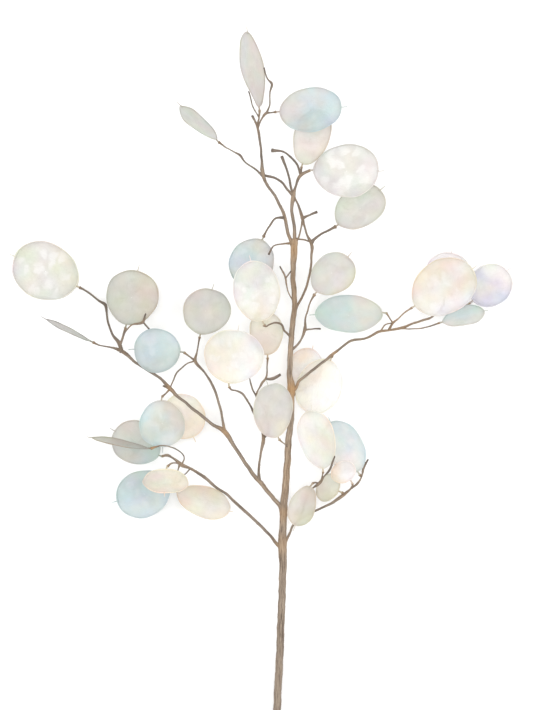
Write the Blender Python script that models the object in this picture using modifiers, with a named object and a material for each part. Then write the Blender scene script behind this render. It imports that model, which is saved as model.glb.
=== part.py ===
"""Honesty branch: a cut, dried branch with round papery pods, lying on a table.

The wood is one grown piece. Each pod is a thin cupped disc with a raised rim, a beak and a short
neck, and sits just off the end of the twig that bears it. Lengths are in millimetres and are turned
into metres when a mesh is made. X is to the right, Y runs from the cut end to the crown and Z is up.
"""
import math
import random
from dataclasses import dataclass

import bmesh
import bpy
from mathutils import Matrix, Vector

MM = 0.001
SEED = 41

# Wood: how round the tubes are, and where the cut end rests
TWIG_SIDE_STEPS = 1
STEM_SIDE_STEPS = 2
STEM_RADIUS_FOR_MORE_SIDES = 2.2
TABLE_BLOCK = 2000.0
WELD_DISTANCE = 0.0001

# Pods: the turned disc that each one is shaped from
POD_SIDES = 20
RING_RADII = (0.0, 0.52, 0.9, 1.0)
CLOSE_SPOKE = math.radians(2.4)
RIM_THICKNESS = 1.4
MEMBRANE_SHARE = 0.5
BEAK_HALF_WIDTH = 1.1
NECK_HALF_WIDTH = 0.9
NECK_LENGTH = 3.0
SEAT_GAP = 0.3
EGG_SHAPE = 0.07
RIPPLE = 0.9
FLAT_POD_HEIGHT = 0.3
CREASE_ANGLE = math.radians(50)

BARK_COLOUR = (0.47, 0.35, 0.25, 1.0)
BARK_ROUGHNESS = 0.8
POD_ROUGHNESS = 0.45
POD_COLOURS = {
    "ivory": (0.82, 0.79, 0.72, 1.0),
    "sage": (0.62, 0.64, 0.55, 1.0),
    "blue": (0.55, 0.68, 0.74, 1.0),
    "peach": (0.83, 0.72, 0.60, 1.0),
    "lavender": (0.70, 0.70, 0.78, 1.0),
}

# Wood routes: (x, y, z, radius) along the middle of each stem, from where it grows out
STEM = [
    (-7.0, 0.0, 2.9, 3.3), (-6.0, 50.0, 3.2, 3.3), (-5.0, 100.0, 5.0, 3.2), (-2.5, 151.0, 8.5, 3.2),
    (-1.0, 193.0, 12.0, 3.1), (0.0, 227.0, 14.5, 3.3), (-0.5, 240.0, 15.5, 3.7),
    (0.0, 254.0, 16.5, 3.1), (1.0, 275.0, 18.0, 3.1), (3.5, 306.0, 20.5, 2.8),
    (4.5, 325.0, 22.0, 2.7), (7.0, 350.0, 24.5, 2.5), (7.0, 366.0, 26.3, 2.9),
    (7.0, 374.0, 27.0, 3.4), (6.0, 383.0, 28.0, 2.5), (6.0, 397.0, 29.0, 2.3),
    (7.0, 413.0, 30.5, 2.3), (8.5, 431.0, 32.0, 2.3), (10.0, 444.0, 33.0, 2.2),
    (9.0, 459.0, 34.5, 2.2), (8.5, 474.0, 36.0, 2.2), (9.5, 491.0, 38.0, 2.9),
    (10.0, 500.0, 39.0, 2.7),
]
CROWN = {
    "left_strand": [
        (9.0, 493.0, 38.0, 1.7), (5.5, 501.0, 40.0, 1.6), (3.0, 511.0, 41.0, 1.6),
        (0.5, 521.0, 42.0, 1.6), (-4.0, 531.0, 43.0, 1.4), (-9.5, 540.0, 44.0, 1.3),
        (-15.5, 549.0, 45.0, 1.5), (-17.0, 554.0, 45.2, 1.9), (-18.0, 566.0, 46.0, 1.2),
        (-19.0, 578.0, 46.0, 1.1), (-21.0, 591.0, 45.0, 1.2), (-23.5, 599.0, 44.0, 1.0),
        (-26.0, 604.0, 43.0, 1.2),
    ],
    "crown_twig": [
        (-21.5, 594.0, 44.8, 0.9), (-18.0, 602.0, 45.0, 0.9), (-14.0, 606.5, 46.0, 1.4),
        (-10.5, 606.5, 47.5, 0.7), (-6.0, 607.0, 49.2, 1.1),
    ],
    "crown_spur": [
        (-14.0, 606.0, 46.0, 0.8), (-11.5, 612.5, 47.0, 0.7), (-11.0, 623.5, 48.0, 0.7),
        (-9.5, 631.0, 49.0, 1.2), (-13.0, 634.5, 49.5, 0.7), (-16.0, 644.0, 50.0, 0.7),
    ],
    "top_twig": [(-22.0, 596.0, 44.5, 0.9), (-20.5, 601.5, 44.2, 0.8), (-19.8, 608.5, 43.8, 1.1)],
    "top_stub": [
        (-20.5, 603.0, 44.0, 0.7), (-25.5, 612.5, 41.0, 0.7), (-27.0, 618.5, 38.0, 0.7),
        (-29.0, 625.0, 35.0, 0.8),
    ],
    "left_twig": [
        (-17.0, 553.0, 45.2, 1.0), (-22.0, 557.5, 46.0, 0.9), (-33.0, 566.0, 46.0, 0.8),
        (-37.0, 571.0, 45.6, 1.1), (-41.5, 573.5, 45.0, 0.7), (-49.0, 578.0, 43.0, 0.7),
        (-54.3, 581.8, 42.0, 1.1),
    ],
    "arch_twig": [
        (8.5, 537.0, 42.7, 1.0), (3.5, 541.5, 44.5, 0.9), (0.0, 547.0, 45.5, 0.9),
        (-6.0, 551.0, 46.0, 0.9), (-15.0, 553.5, 45.4, 1.0),
    ],
    "centre_strand": [
        (10.0, 493.0, 38.0, 1.7), (10.0, 504.0, 40.0, 1.7), (8.5, 516.0, 41.0, 1.6),
        (7.5, 526.0, 42.0, 1.6), (8.5, 536.0, 42.5, 2.2), (10.5, 544.0, 43.0, 1.2),
        (15.0, 554.0, 44.0, 1.7), (22.6, 557.8, 45.7, 1.1),
    ],
    "centre_spur": [
        (8.5, 536.0, 42.5, 1.0), (6.0, 546.0, 43.5, 0.9), (3.5, 557.0, 44.5, 0.8),
        (-1.0, 569.5, 45.0, 1.2),
    ],
    "back_stalk": [(15.0, 554.0, 44.0, 0.7), (15.6, 560.6, 42.3, 1.0)],
    "hook_twig": [
        (15.0, 555.0, 44.0, 0.9), (12.0, 562.5, 47.0, 0.8), (7.0, 568.5, 49.0, 0.8),
        (-1.0, 573.5, 50.0, 0.7), (-9.5, 574.5, 50.0, 1.5),
    ],
    "right_strand": [
        (8.5, 538.0, 42.5, 1.0), (13.0, 527.5, 45.0, 1.1), (16.5, 517.0, 46.0, 1.7),
        (18.0, 511.0, 45.0, 1.1), (20.5, 504.0, 43.0, 1.1), (24.0, 497.0, 41.0, 1.7),
        (24.0, 484.0, 40.0, 1.2), (22.5, 470.0, 39.0, 1.2), (18.0, 455.0, 37.0, 1.2),
        (13.5, 446.0, 35.0, 1.2), (10.0, 438.0, 32.8, 1.2),
    ],
    "right_stub": [(16.5, 517.5, 46.0, 0.9), (22.0, 520.0, 47.0, 0.8), (28.5, 522.5, 48.0, 1.1)],
    "cross_twig": [
        (16.5, 515.0, 45.8, 0.9), (15.0, 508.0, 44.5, 0.8), (13.0, 501.0, 41.5, 0.9),
        (10.0, 496.0, 38.5, 0.9),
    ],
    "rung": [(10.0, 500.5, 39.0, 0.9), (18.0, 499.0, 41.0, 0.8), (24.0, 497.5, 41.0, 0.9)],
    "right_twig": [
        (24.0, 497.0, 41.0, 1.0), (26.5, 500.0, 41.5, 0.9), (32.0, 504.0, 43.0, 0.8),
        (39.0, 507.5, 43.0, 0.8), (44.6, 510.5, 42.0, 1.1),
    ],
    "teal_twig": [
        (1.0, 518.0, 41.8, 0.9), (-6.0, 517.5, 43.0, 0.8), (-11.0, 511.5, 43.0, 0.8),
        (-14.5, 506.0, 42.0, 0.7), (-16.5, 501.8, 41.2, 1.1),
    ],
    "left_spur": [(6.5, 496.5, 39.5, 0.9), (-8.5, 493.5, 44.5, 0.7), (-12.0, 487.0, 46.5, 1.0)],
    "small_spur": [
        (9.0, 447.0, 33.3, 0.8), (4.0, 456.0, 37.0, 0.7), (2.0, 467.0, 40.0, 1.2),
        (-2.5, 476.5, 42.0, 0.9),
    ],
    "small_fork": [(2.0, 466.5, 40.0, 0.7), (6.5, 472.5, 42.5, 0.9)],
}
MIDDLE = {
    "hoop_twig": [
        (7.0, 417.0, 30.8, 1.0), (1.5, 422.0, 38.0, 0.9), (-1.5, 427.5, 44.0, 0.9),
        (-7.0, 429.0, 48.0, 0.8), (-12.0, 427.0, 50.5, 0.7), (-14.6, 425.8, 51.8, 0.8),
        (-16.0, 427.0, 52.8, 1.1),
    ],
    "upright_twig": [
        (7.0, 406.0, 29.8, 1.2), (13.5, 411.5, 33.0, 1.0), (16.0, 416.0, 35.0, 1.0),
        (18.5, 423.0, 36.0, 1.6), (18.5, 430.5, 38.0, 0.9), (21.0, 440.0, 42.0, 0.8),
        (24.0, 448.5, 45.0, 0.8), (26.6, 452.8, 47.0, 1.3),
    ],
    "upright_stub": [(18.5, 423.0, 36.0, 0.8), (25.0, 424.0, 34.5, 0.7), (31.5, 424.0, 33.0, 0.9)],
    "front_stalk": [
        (4.5, 322.0, 21.8, 0.8), (2.5, 325.0, 26.0, 0.7), (-1.0, 328.0, 31.5, 0.7),
        (-3.2, 330.0, 33.6, 1.1),
    ],
    "low_back_stalk": [(7.0, 366.0, 26.0, 0.9), (9.0, 366.0, 21.0, 0.8), (10.0, 368.5, 17.5, 1.0)],
    "inner_branch": [
        (-20.5, 295.0, 21.3, 1.4), (-20.5, 304.0, 25.0, 1.2), (-19.0, 318.0, 29.5, 1.1),
        (-16.8, 330.0, 32.5, 1.7), (-18.0, 339.0, 35.0, 1.0), (-24.0, 351.0, 38.0, 1.1),
        (-30.0, 362.5, 41.0, 0.9), (-35.0, 369.5, 42.4, 1.1), (-40.0, 371.5, 43.2, 0.8),
        (-43.8, 372.4, 44.8, 0.8), (-45.6, 374.8, 46.0, 1.1),
    ],
    "forked_twig": [
        (-16.8, 331.0, 32.6, 0.9), (-13.0, 335.0, 33.0, 0.8), (-13.0, 346.0, 33.0, 0.7),
        (-16.0, 357.0, 34.0, 0.7), (-22.5, 367.0, 36.0, 1.1), (-20.5, 373.5, 38.5, 0.7),
        (-18.0, 378.0, 40.0, 1.2), (-14.5, 382.0, 41.0, 1.0), (-13.5, 392.0, 41.5, 0.7),
        (-13.0, 399.0, 41.2, 1.1),
    ],
    "forked_stub": [(-22.5, 366.5, 36.0, 0.8), (-26.0, 373.5, 39.0, 1.1), (-28.5, 383.0, 41.0, 0.7)],
    "knobbed_stub": [(-15.0, 381.5, 41.0, 0.7), (-9.0, 381.5, 41.0, 1.6), (-2.5, 385.0, 40.0, 1.4)],
}
RIGHT = {
    "branch": [
        (6.5, 370.0, 26.6, 1.9), (11.0, 374.0, 28.0, 1.8), (13.5, 379.0, 29.0, 1.6),
        (18.0, 383.0, 30.0, 1.6), (33.0, 395.0, 33.0, 1.5), (42.5, 402.5, 34.0, 1.7),
        (49.5, 408.0, 35.0, 1.4), (56.0, 413.0, 35.0, 1.5), (72.0, 416.5, 33.0, 1.3),
        (81.5, 421.5, 31.0, 1.6), (91.0, 423.0, 29.0, 1.3), (100.0, 424.5, 27.0, 1.6),
        (110.5, 428.5, 24.0, 1.2), (121.0, 432.0, 20.0, 1.3), (129.0, 435.5, 16.0, 1.1),
        (134.5, 440.0, 12.5, 1.4), (137.5, 444.0, 10.0, 0.9), (137.5, 448.9, 8.3, 1.2),
    ],
    "upper_twig": [
        (90.0, 423.0, 29.2, 1.0), (93.5, 429.0, 30.5, 1.3), (97.5, 432.5, 32.0, 0.8),
        (103.5, 438.0, 33.0, 0.8), (109.4, 441.8, 33.0, 1.1),
    ],
    "inner_stalk": [(93.5, 428.5, 30.5, 0.8), (91.0, 432.5, 33.5, 0.7), (87.6, 437.2, 37.3, 1.1)],
    "loop_twig": [(83.0, 422.0, 30.8, 0.7), (87.0, 427.5, 31.0, 0.7), (93.0, 429.0, 30.5, 0.7)],
    "lower_twig": [
        (99.5, 424.5, 27.0, 1.0), (109.0, 424.0, 27.5, 0.8), (121.0, 425.0, 27.0, 0.9),
        (133.0, 429.0, 25.8, 1.2),
    ],
    "tip_twig": [
        (134.5, 440.0, 12.5, 0.9), (141.0, 437.5, 9.0, 0.8), (150.0, 440.0, 5.5, 0.8),
        (156.0, 443.5, 3.0, 0.7), (160.4, 446.2, 1.8, 0.9),
    ],
    "hidden_stalk": [(42.5, 402.5, 34.0, 0.8), (42.4, 401.5, 31.0, 0.7), (41.6, 400.2, 29.6, 1.0)],
}
LEFT = {
    "branch": [
        (0.5, 264.0, 17.3, 2.2), (-3.0, 274.0, 18.5, 2.1), (-8.5, 280.0, 19.5, 1.9),
        (-19.0, 293.0, 21.0, 2.1), (-26.5, 301.5, 23.0, 1.9), (-33.5, 312.5, 25.5, 1.8),
        (-42.0, 325.0, 28.0, 1.8), (-49.5, 336.5, 30.0, 2.4), (-58.5, 342.0, 31.0, 1.6),
        (-70.5, 351.5, 32.5, 1.5), (-88.5, 366.0, 33.5, 1.4), (-96.0, 373.5, 34.0, 1.9),
        (-104.5, 382.0, 34.0, 1.3), (-115.0, 389.0, 33.0, 1.5), (-126.5, 396.5, 31.0, 1.3),
        (-137.0, 405.0, 28.5, 1.8), (-147.0, 408.5, 29.0, 0.9), (-157.0, 410.5, 30.0, 0.8),
        (-161.2, 412.4, 30.2, 1.2),
    ],
    "grey_stub": [(-96.0, 373.0, 34.0, 0.9), (-101.5, 375.5, 35.0, 1.0)],
    "grey_twig": [
        (-96.0, 373.0, 34.0, 0.9), (-99.0, 369.5, 32.5, 0.8), (-102.5, 366.5, 30.8, 1.1),
    ],
    "peach_stalk": [(-95.5, 373.0, 33.5, 0.9), (-93.8, 371.5, 29.5, 0.7), (-93.6, 370.3, 27.6, 1.0)],
    "floor_twig": [
        (-137.0, 404.0, 28.5, 1.1), (-139.0, 411.0, 26.5, 1.4), (-146.0, 420.5, 21.0, 0.8),
        (-149.0, 430.0, 16.0, 0.8), (-150.5, 439.0, 12.0, 0.8), (-152.0, 445.0, 9.5, 1.2),
        (-157.0, 448.0, 7.5, 0.8), (-165.0, 454.0, 4.6, 0.7), (-171.0, 458.0, 2.6, 0.7),
        (-174.0, 459.5, 1.8, 0.9),
    ],
    "olive_twig": [
        (-138.5, 410.0, 26.8, 0.9), (-136.0, 418.0, 28.5, 1.1), (-133.8, 424.8, 29.2, 1.1),
    ],
    "brown_twig": [
        (-136.0, 417.5, 28.5, 0.8), (-133.0, 422.5, 32.0, 0.7), (-128.5, 427.0, 34.0, 0.7),
        (-119.0, 430.0, 35.0, 1.4), (-116.5, 436.5, 36.0, 0.8),
    ],
    "brown_fork": [(-119.0, 430.0, 35.0, 0.7), (-112.0, 422.0, 35.0, 0.9)],
    "riser": [
        (-49.5, 336.0, 30.0, 1.5), (-51.5, 348.0, 31.5, 1.3), (-55.0, 362.5, 33.0, 1.3),
        (-59.5, 375.5, 35.0, 1.4), (-66.0, 386.5, 36.0, 1.1), (-74.5, 397.0, 37.5, 1.7),
        (-73.0, 404.5, 38.5, 0.9), (-71.5, 412.0, 39.5, 0.8), (-70.7, 416.8, 40.2, 1.2),
    ],
    "blue_stalk": [(-74.5, 397.0, 37.5, 0.9), (-80.0, 401.0, 39.5, 0.8), (-83.7, 403.8, 40.7, 1.1)],
    "tie_twig": [
        (-74.5, 397.0, 37.5, 0.8), (-83.5, 393.0, 36.5, 0.8), (-89.5, 387.5, 35.5, 1.0),
        (-94.0, 378.0, 34.2, 0.8), (-95.5, 374.5, 34.0, 0.8),
    ],
}
LOW = {
    "left_branch": [
        (-0.5, 237.0, 15.3, 1.9), (-4.5, 240.0, 15.6, 1.7), (-9.5, 246.0, 16.2, 1.5),
        (-23.0, 260.0, 17.5, 1.5), (-41.0, 276.5, 19.5, 1.5), (-47.0, 282.5, 20.0, 1.3),
        (-58.5, 290.5, 21.5, 1.4), (-70.5, 300.5, 23.0, 1.6), (-79.0, 305.0, 24.0, 1.3),
        (-86.5, 308.5, 24.7, 2.1), (-93.5, 314.5, 25.2, 1.0), (-98.5, 316.5, 25.3, 1.5),
        (-102.8, 315.6, 24.8, 1.0),
    ],
    "hook_twig": [
        (-86.0, 308.5, 24.7, 0.9), (-84.0, 315.0, 28.5, 0.8), (-91.0, 322.0, 33.0, 0.8),
        (-103.0, 325.0, 36.0, 0.8), (-111.8, 322.6, 38.0, 1.7),
    ],
    "cream_stalk": [
        (-86.5, 308.5, 24.7, 0.9), (-90.5, 309.8, 27.0, 0.7), (-95.0, 309.5, 28.2, 0.8),
        (-98.0, 307.2, 29.0, 1.2),
    ],
    "blue_stalk": [
        (-88.0, 308.0, 24.4, 0.9), (-90.0, 302.0, 21.0, 0.7), (-92.0, 295.0, 19.0, 0.7),
        (-93.4, 291.6, 18.3, 1.0),
    ],
    "striped_stalk": [
        (-79.0, 305.0, 23.8, 0.8), (-84.0, 299.5, 19.0, 0.7), (-89.5, 292.5, 16.0, 0.8),
        (-92.0, 286.5, 14.8, 1.0),
    ],
    "right_branch": [
        (0.5, 238.0, 15.3, 1.8), (4.5, 247.0, 16.2, 1.5), (8.5, 256.0, 17.0, 1.4),
        (14.5, 261.5, 18.0, 1.5), (27.0, 268.5, 20.0, 1.3), (40.0, 275.0, 21.0, 1.5),
        (51.0, 282.0, 22.0, 2.1), (58.5, 288.5, 22.0, 1.1), (63.0, 291.5, 22.0, 1.4),
        (67.0, 298.0, 21.0, 0.9), (69.0, 306.5, 20.0, 1.6), (72.5, 312.5, 19.0, 0.9),
    ],
    "right_stub": [(58.5, 288.5, 22.0, 0.9), (59.2, 290.5, 24.3, 0.9), (59.0, 292.4, 26.2, 1.0)],
    "inner_twig": [
        (14.5, 261.5, 18.0, 1.0), (17.0, 270.0, 20.0, 0.8), (20.0, 280.0, 23.0, 0.8),
        (25.5, 288.0, 27.0, 0.8), (30.0, 292.0, 30.0, 1.6), (34.5, 298.5, 36.0, 0.8),
        (39.0, 304.0, 44.0, 1.2), (43.5, 316.0, 52.0, 0.8),
    ],
    "grey_stalk": [(30.0, 292.5, 30.0, 0.8), (27.0, 293.5, 31.5, 0.7), (25.2, 292.8, 32.0, 1.0)],
    "green_stalk": [(33.0, 296.5, 33.8, 0.7), (33.5, 300.0, 34.5, 0.7), (34.0, 302.5, 34.8, 1.0)],
    "teal_stalk": [(67.0, 298.0, 21.0, 0.7), (65.3, 299.8, 22.2, 1.0)],
    "brown_stalk": [(52.5, 283.0, 22.0, 0.9), (50.4, 284.6, 24.2, 1.0)],
}
WOOD = {"crown": CROWN, "middle": MIDDLE, "right": RIGHT, "left": LEFT, "low": LOW}


@dataclass(frozen=True)
class Pod:
    """One pod: the twig that bears it, its far end, its greatest width, and its lean in degrees.

    A positive lean lowers the edge on the right, seen from above along the pod. cup is how far
    the middle sits below the rim, beak is the length of the point at the far end, point is how much
    the outline narrows towards both ends, ripple is how far the skin waves, and egg is how much
    wider the outline is towards the far end.
    """

    name: str
    region: str
    twig: str
    tip: tuple
    width: float
    lean: float
    colour: str
    cup: float = 2.5
    beak: float = 6.0
    point: float = 0.0
    ripple: float = RIPPLE
    egg: float = EGG_SHAPE


PODS = [
    Pod("pod_crown_top", "crown", "top_twig", (-32.5, 674.5, 31.0), 40, 62, "sage", point=0.3, egg=0.3),
    Pod("pod_crown_left", "crown", "left_twig", (-87.0, 611.5, 31.0), 38, 70, "sage", 2.0, point=0.2,
        egg=0.2),
    Pod("pod_crown_front", "crown", "crown_twig", (49.0, 609.5, 58.0), 40, -20, "blue"),
    Pod("pod_crown_back", "crown", "back_stalk", (31.5, 609.0, 36.0), 30, 8, "peach"),
    Pod("pod_crown_middle", "crown", "centre_strand", (80.5, 556.0, 52.0), 45, -10, "ivory"),
    Pod("pod_crown_right", "crown", "right_twig", (83.0, 540.5, 36.0), 40, -30, "sage"),
    Pod("pod_upper_back", "crown", "teal_twig", (-34.5, 461.0, 35.0), 38, 12, "blue", 1.5),
    Pod("pod_upper_front", "middle", "hoop_twig", (-27.0, 480.5, 58.0), 39, 8, "ivory"),
    Pod("pod_upper_right", "middle", "upright_twig", (54.0, 485.5, 54.0), 37, 25, "sage"),
    Pod("pod_middle_left", "middle", "inner_branch", (-37.5, 422.5, 52.0), 50, 6, "ivory"),
    Pod("pod_middle_back", "middle", "forked_twig", (-15.5, 438.0, 35.0), 28, 10, "peach", 1.5, 4.0),
    Pod("pod_middle_front", "middle", "front_stalk", (-13.5, 377.0, 54.0), 38, 28, "lavender", 2.0),
    Pod("pod_middle_low", "middle", "low_back_stalk", (25.0, 406.5, 13.0), 28, 0, "peach", 1.5, 4.0),
    Pod("pod_right_inner", "right", "inner_stalk", (27.5, 433.5, 46.0), 38, 33, "blue", point=0.12),
    Pod("pod_right_hidden", "right", "hidden_stalk", (22.0, 353.5, 16.0), 38, 0, "ivory", 1.5),
    Pod("pod_right_front", "right", "upper_twig", (160.0, 475.0, 38.0), 46, 8, "ivory"),
    Pod("pod_right_back", "right", "branch", (144.0, 489.0, 14.0), 37, 0, "lavender", 1.5, 3.0),
    Pod("pod_right_floor", "right", "tip_twig", (192.0, 474.0, FLAT_POD_HEIGHT), 35, 0, "lavender",
        0.0, 5.0),
    Pod("pod_right_low", "right", "lower_twig", (171.5, 438.0, 24.0), 28, -55, "blue", 1.5, 4.0,
        point=0.12),
    Pod("pod_left_high", "left", "riser", (-60.5, 457.5, 46.0), 41, 18, "sage"),
    Pod("pod_left_blue", "left", "blue_stalk", (-125.5, 405.8, 44.0), 37, 8, "blue", 2.0),
    Pod("pod_left_olive", "left", "olive_twig", (-124.0, 473.0, 25.0), 44, 10, "sage", 2.0),
    Pod("pod_left_floor", "left", "floor_twig", (-229.5, 486.0, FLAT_POD_HEIGHT), 48, 0, "ivory", 0.0),
    Pod("pod_left_edge", "left", "branch", (-201.0, 431.0, 34.0), 34, 84, "sage", 1.0, point=0.3,
        ripple=0.3),
    Pod("pod_shoulder_grey", "left", "grey_twig", (-101.5, 324.0, 26.0), 38, 0, "blue", 1.5),
    Pod("pod_shoulder_peach", "left", "peach_stalk", (-76.5, 332.5, 16.0), 35, 0, "peach", 1.5),
    Pod("pod_low_teal", "low", "left_branch", (-143.0, 337.0, 14.0), 36, 8, "blue", 1.5),
    Pod("pod_low_edge", "low", "hook_twig", (-161.0, 331.0, 52.0), 34, 82, "sage", 1.0, point=0.3,
        ripple=0.3),
    Pod("pod_low_blue", "low", "blue_stalk", (-141.0, 277.5, 9.5), 40, 12, "blue", 2.0),
    Pod("pod_low_striped", "low", "striped_stalk", (-45.5, 269.0, 15.5), 34, -42, "peach", 1.5, 4.0,
        point=0.1),
    Pod("pod_low_cream", "low", "cream_stalk", (-99.0, 284.5, 61.0), 38, 0, "peach", 2.0),
    Pod("pod_low_grey", "low", "grey_stalk", (12.0, 257.0, 30.0), 26, 34, "sage", 1.5),
    Pod("pod_low_green", "low", "green_stalk", (25.5, 355.0, 44.0), 38, -38, "sage", 2.0),
    Pod("pod_low_pale", "low", "teal_stalk", (41.5, 344.5, 24.0), 36, -28, "blue", 1.5),
    Pod("pod_low_small", "low", "right_stub", (45.5, 309.0, 28.5), 22, -15, "peach", 1.0, 3.0),
    Pod("pod_low_brown", "low", "brown_stalk", (30.5, 291.5, 18.0), 26, 20, "sage", 1.0, 3.0),
]


def clear_scene():
    """Removes every object, so that the script gives the same model each time it runs."""
    for old in list(bpy.data.objects):
        bpy.data.objects.remove(old, do_unlink=True)


def make_material(name, colour, roughness):
    """Makes a plain material with one colour."""
    material = bpy.data.materials.new(name)
    material.use_nodes = True
    shader = material.node_tree.nodes["Principled BSDF"]
    shader.inputs["Base Color"].default_value = colour
    shader.inputs["Roughness"].default_value = roughness
    shader.inputs["Metallic"].default_value = 0.0
    return material


def add_tube(name, route, collection):
    """Makes one stem as a closed mesh: a tapering tube along its route, with its caps welded on."""
    curve = bpy.data.curves.new(name, "CURVE")
    curve.dimensions = "3D"
    curve.bevel_depth = MM
    thick = max(radius for _, _, _, radius in route) > STEM_RADIUS_FOR_MORE_SIDES
    curve.bevel_resolution = STEM_SIDE_STEPS if thick else TWIG_SIDE_STEPS
    curve.render_resolution_u = 0
    curve.use_fill_caps = True
    spline = curve.splines.new("POLY")
    spline.points.add(len(route) - 1)
    for point, (x, y, z, radius) in zip(spline.points, route):
        point.co = (x * MM, y * MM, z * MM, 1.0)
        point.radius = radius
    guide = bpy.data.objects.new(name + "_route", curve)
    collection.objects.link(guide)
    bpy.context.view_layer.update()
    seen = guide.evaluated_get(bpy.context.evaluated_depsgraph_get())
    mesh = bpy.data.meshes.new_from_object(seen)
    bpy.data.objects.remove(guide, do_unlink=True)
    shape = bmesh.new()
    shape.from_mesh(mesh)
    bmesh.ops.remove_doubles(shape, verts=shape.verts, dist=WELD_DISTANCE * MM)
    bmesh.ops.recalc_face_normals(shape, faces=shape.faces)
    shape.to_mesh(mesh)
    shape.free()
    tube = bpy.data.objects.new(name, mesh)
    collection.objects.link(tube)
    return tube


def cut_at_table(target, cutters):
    """Trims what lies below the table, which leaves a flat spot to rest on."""
    bpy.ops.mesh.primitive_cube_add(size=TABLE_BLOCK * MM, location=(0, 0, -TABLE_BLOCK * MM / 2))
    block = bpy.context.active_object
    block.name = target.name + "_table"
    move_to(block, cutters)
    block.hide_render = True
    block.display_type = "WIRE"
    cut = target.modifiers.new("rest_flat", "BOOLEAN")
    cut.operation = "DIFFERENCE"
    cut.object = block
    apply_modifier(target, cut)
    bpy.data.objects.remove(block, do_unlink=True)


def move_to(thing, collection):
    """Moves an object into one collection and out of all others."""
    for held in list(thing.users_collection):
        held.objects.unlink(thing)
    collection.objects.link(thing)


def apply_modifier(target, modifier):
    """Applies one modifier to a mesh."""
    bpy.context.view_layer.objects.active = target
    bpy.ops.object.modifier_apply(modifier=modifier.name)


def build_wood(parts, cutters, material):
    """Builds the stem with all its branches and twigs as one grown piece."""
    twigs = bpy.data.collections.new("twigs")
    bpy.context.scene.collection.children.link(twigs)
    wood = add_tube("wood", STEM, parts)
    for region, routes in WOOD.items():
        for name, route in routes.items():
            add_tube(f"{region}_{name}", route, twigs)
    union = wood.modifiers.new("grown_together", "BOOLEAN")
    union.operation = "UNION"
    union.operand_type = "COLLECTION"
    union.collection = twigs
    apply_modifier(wood, union)
    for twig in list(twigs.objects):
        bpy.data.objects.remove(twig, do_unlink=True)
    bpy.data.collections.remove(twigs)
    cut_at_table(wood, cutters)
    finish_mesh(wood, material)
    return wood


def finish_mesh(thing, material):
    """Gives a piece its material and smooth shading."""
    thing.data.materials.clear()
    thing.data.materials.append(material)
    thing.data.shade_smooth()
    thing.data.set_sharp_from_angle(angle=CREASE_ANGLE)


def turned_disc():
    """Makes a flat disc of rings and spokes by turning a spoke about the middle."""
    disc = bmesh.new()
    spoke = [disc.verts.new((radius, 0.0, 0.0)) for radius in RING_RADII]
    edges = [disc.edges.new(pair) for pair in zip(spoke, spoke[1:])]
    bmesh.ops.spin(
        disc, geom=spoke + edges, cent=(0, 0, 0), axis=(0, 0, 1), dvec=(0, 0, 0),
        angle=2 * math.pi, steps=POD_SIDES, use_merge=True,
    )
    bmesh.ops.remove_doubles(disc, verts=disc.verts, dist=WELD_DISTANCE)
    return disc


def spoke_angle(turn):
    """Moves the spokes beside the beak and the neck in close to them, and spreads the rest."""
    half = POD_SIDES // 2
    step = round(turn / (2 * math.pi) * POD_SIDES) % POD_SIDES
    side = 1 if step <= half else -1
    step = min(step, POD_SIDES - step)
    if step in (0, half):
        return side * math.pi * step / half
    spread = (math.pi - 2 * CLOSE_SPOKE) / (half - 2)
    return side * (CLOSE_SPOKE + spread * (step - 1))


def pod_point(pod, length, ring, turn, wave):
    """Gives a point of the pod's middle surface: along its axis, across it and out of its face."""
    angle = spoke_angle(turn)
    along = ring * math.cos(angle)
    across = ring * math.sin(angle) * (1 + pod.egg * math.cos(angle)) * (1 - pod.point * along ** 2)
    x = across * pod.width / 2
    y = (1 + along) * length / 2
    ripple = pod.ripple * math.sin(angle) ** 2 * math.sin(2 * angle + wave) if pod.cup else 0.0
    out = (pod.cup + ripple) * ring ** 2
    if ring == RING_RADII[-1]:
        if math.isclose(abs(angle), math.pi):
            x, y = 0.0, -NECK_LENGTH
        elif math.isclose(abs(angle), math.pi - CLOSE_SPOKE):
            x, y = math.copysign(NECK_HALF_WIDTH, angle), -NECK_LENGTH
        elif angle == 0:
            y += pod.beak
        elif math.isclose(abs(angle), CLOSE_SPOKE):
            x = math.copysign(BEAK_HALF_WIDTH, angle)
    return x, y + NECK_LENGTH, out


def seat_pod(pod):
    """Finds where a pod's neck ends, just off its twig's end, and the pod's three directions."""
    route = WOOD[pod.region][pod.twig]
    end, before = Vector(route[-1][:3]), Vector(route[-2][:3])
    tip = Vector(pod.tip)
    flat = pod.tip[2] == FLAT_POD_HEIGHT
    axis = tip - end
    if flat:
        axis.z = 0
    axis.normalize()
    face = (Vector((0, 0, 1)) - axis * axis.z).normalized()
    face = Matrix.Rotation(math.radians(pod.lean), 3, axis) @ face
    across = axis.cross(face)
    growth = (end - before).normalized()
    corner = NECK_HALF_WIDTH * abs(across.dot(growth)) + RIM_THICKNESS / 2 * abs(face.dot(growth))
    base = end + growth * (SEAT_GAP + corner)
    if flat:
        base.z = FLAT_POD_HEIGHT
    return base, axis, across, face


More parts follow.
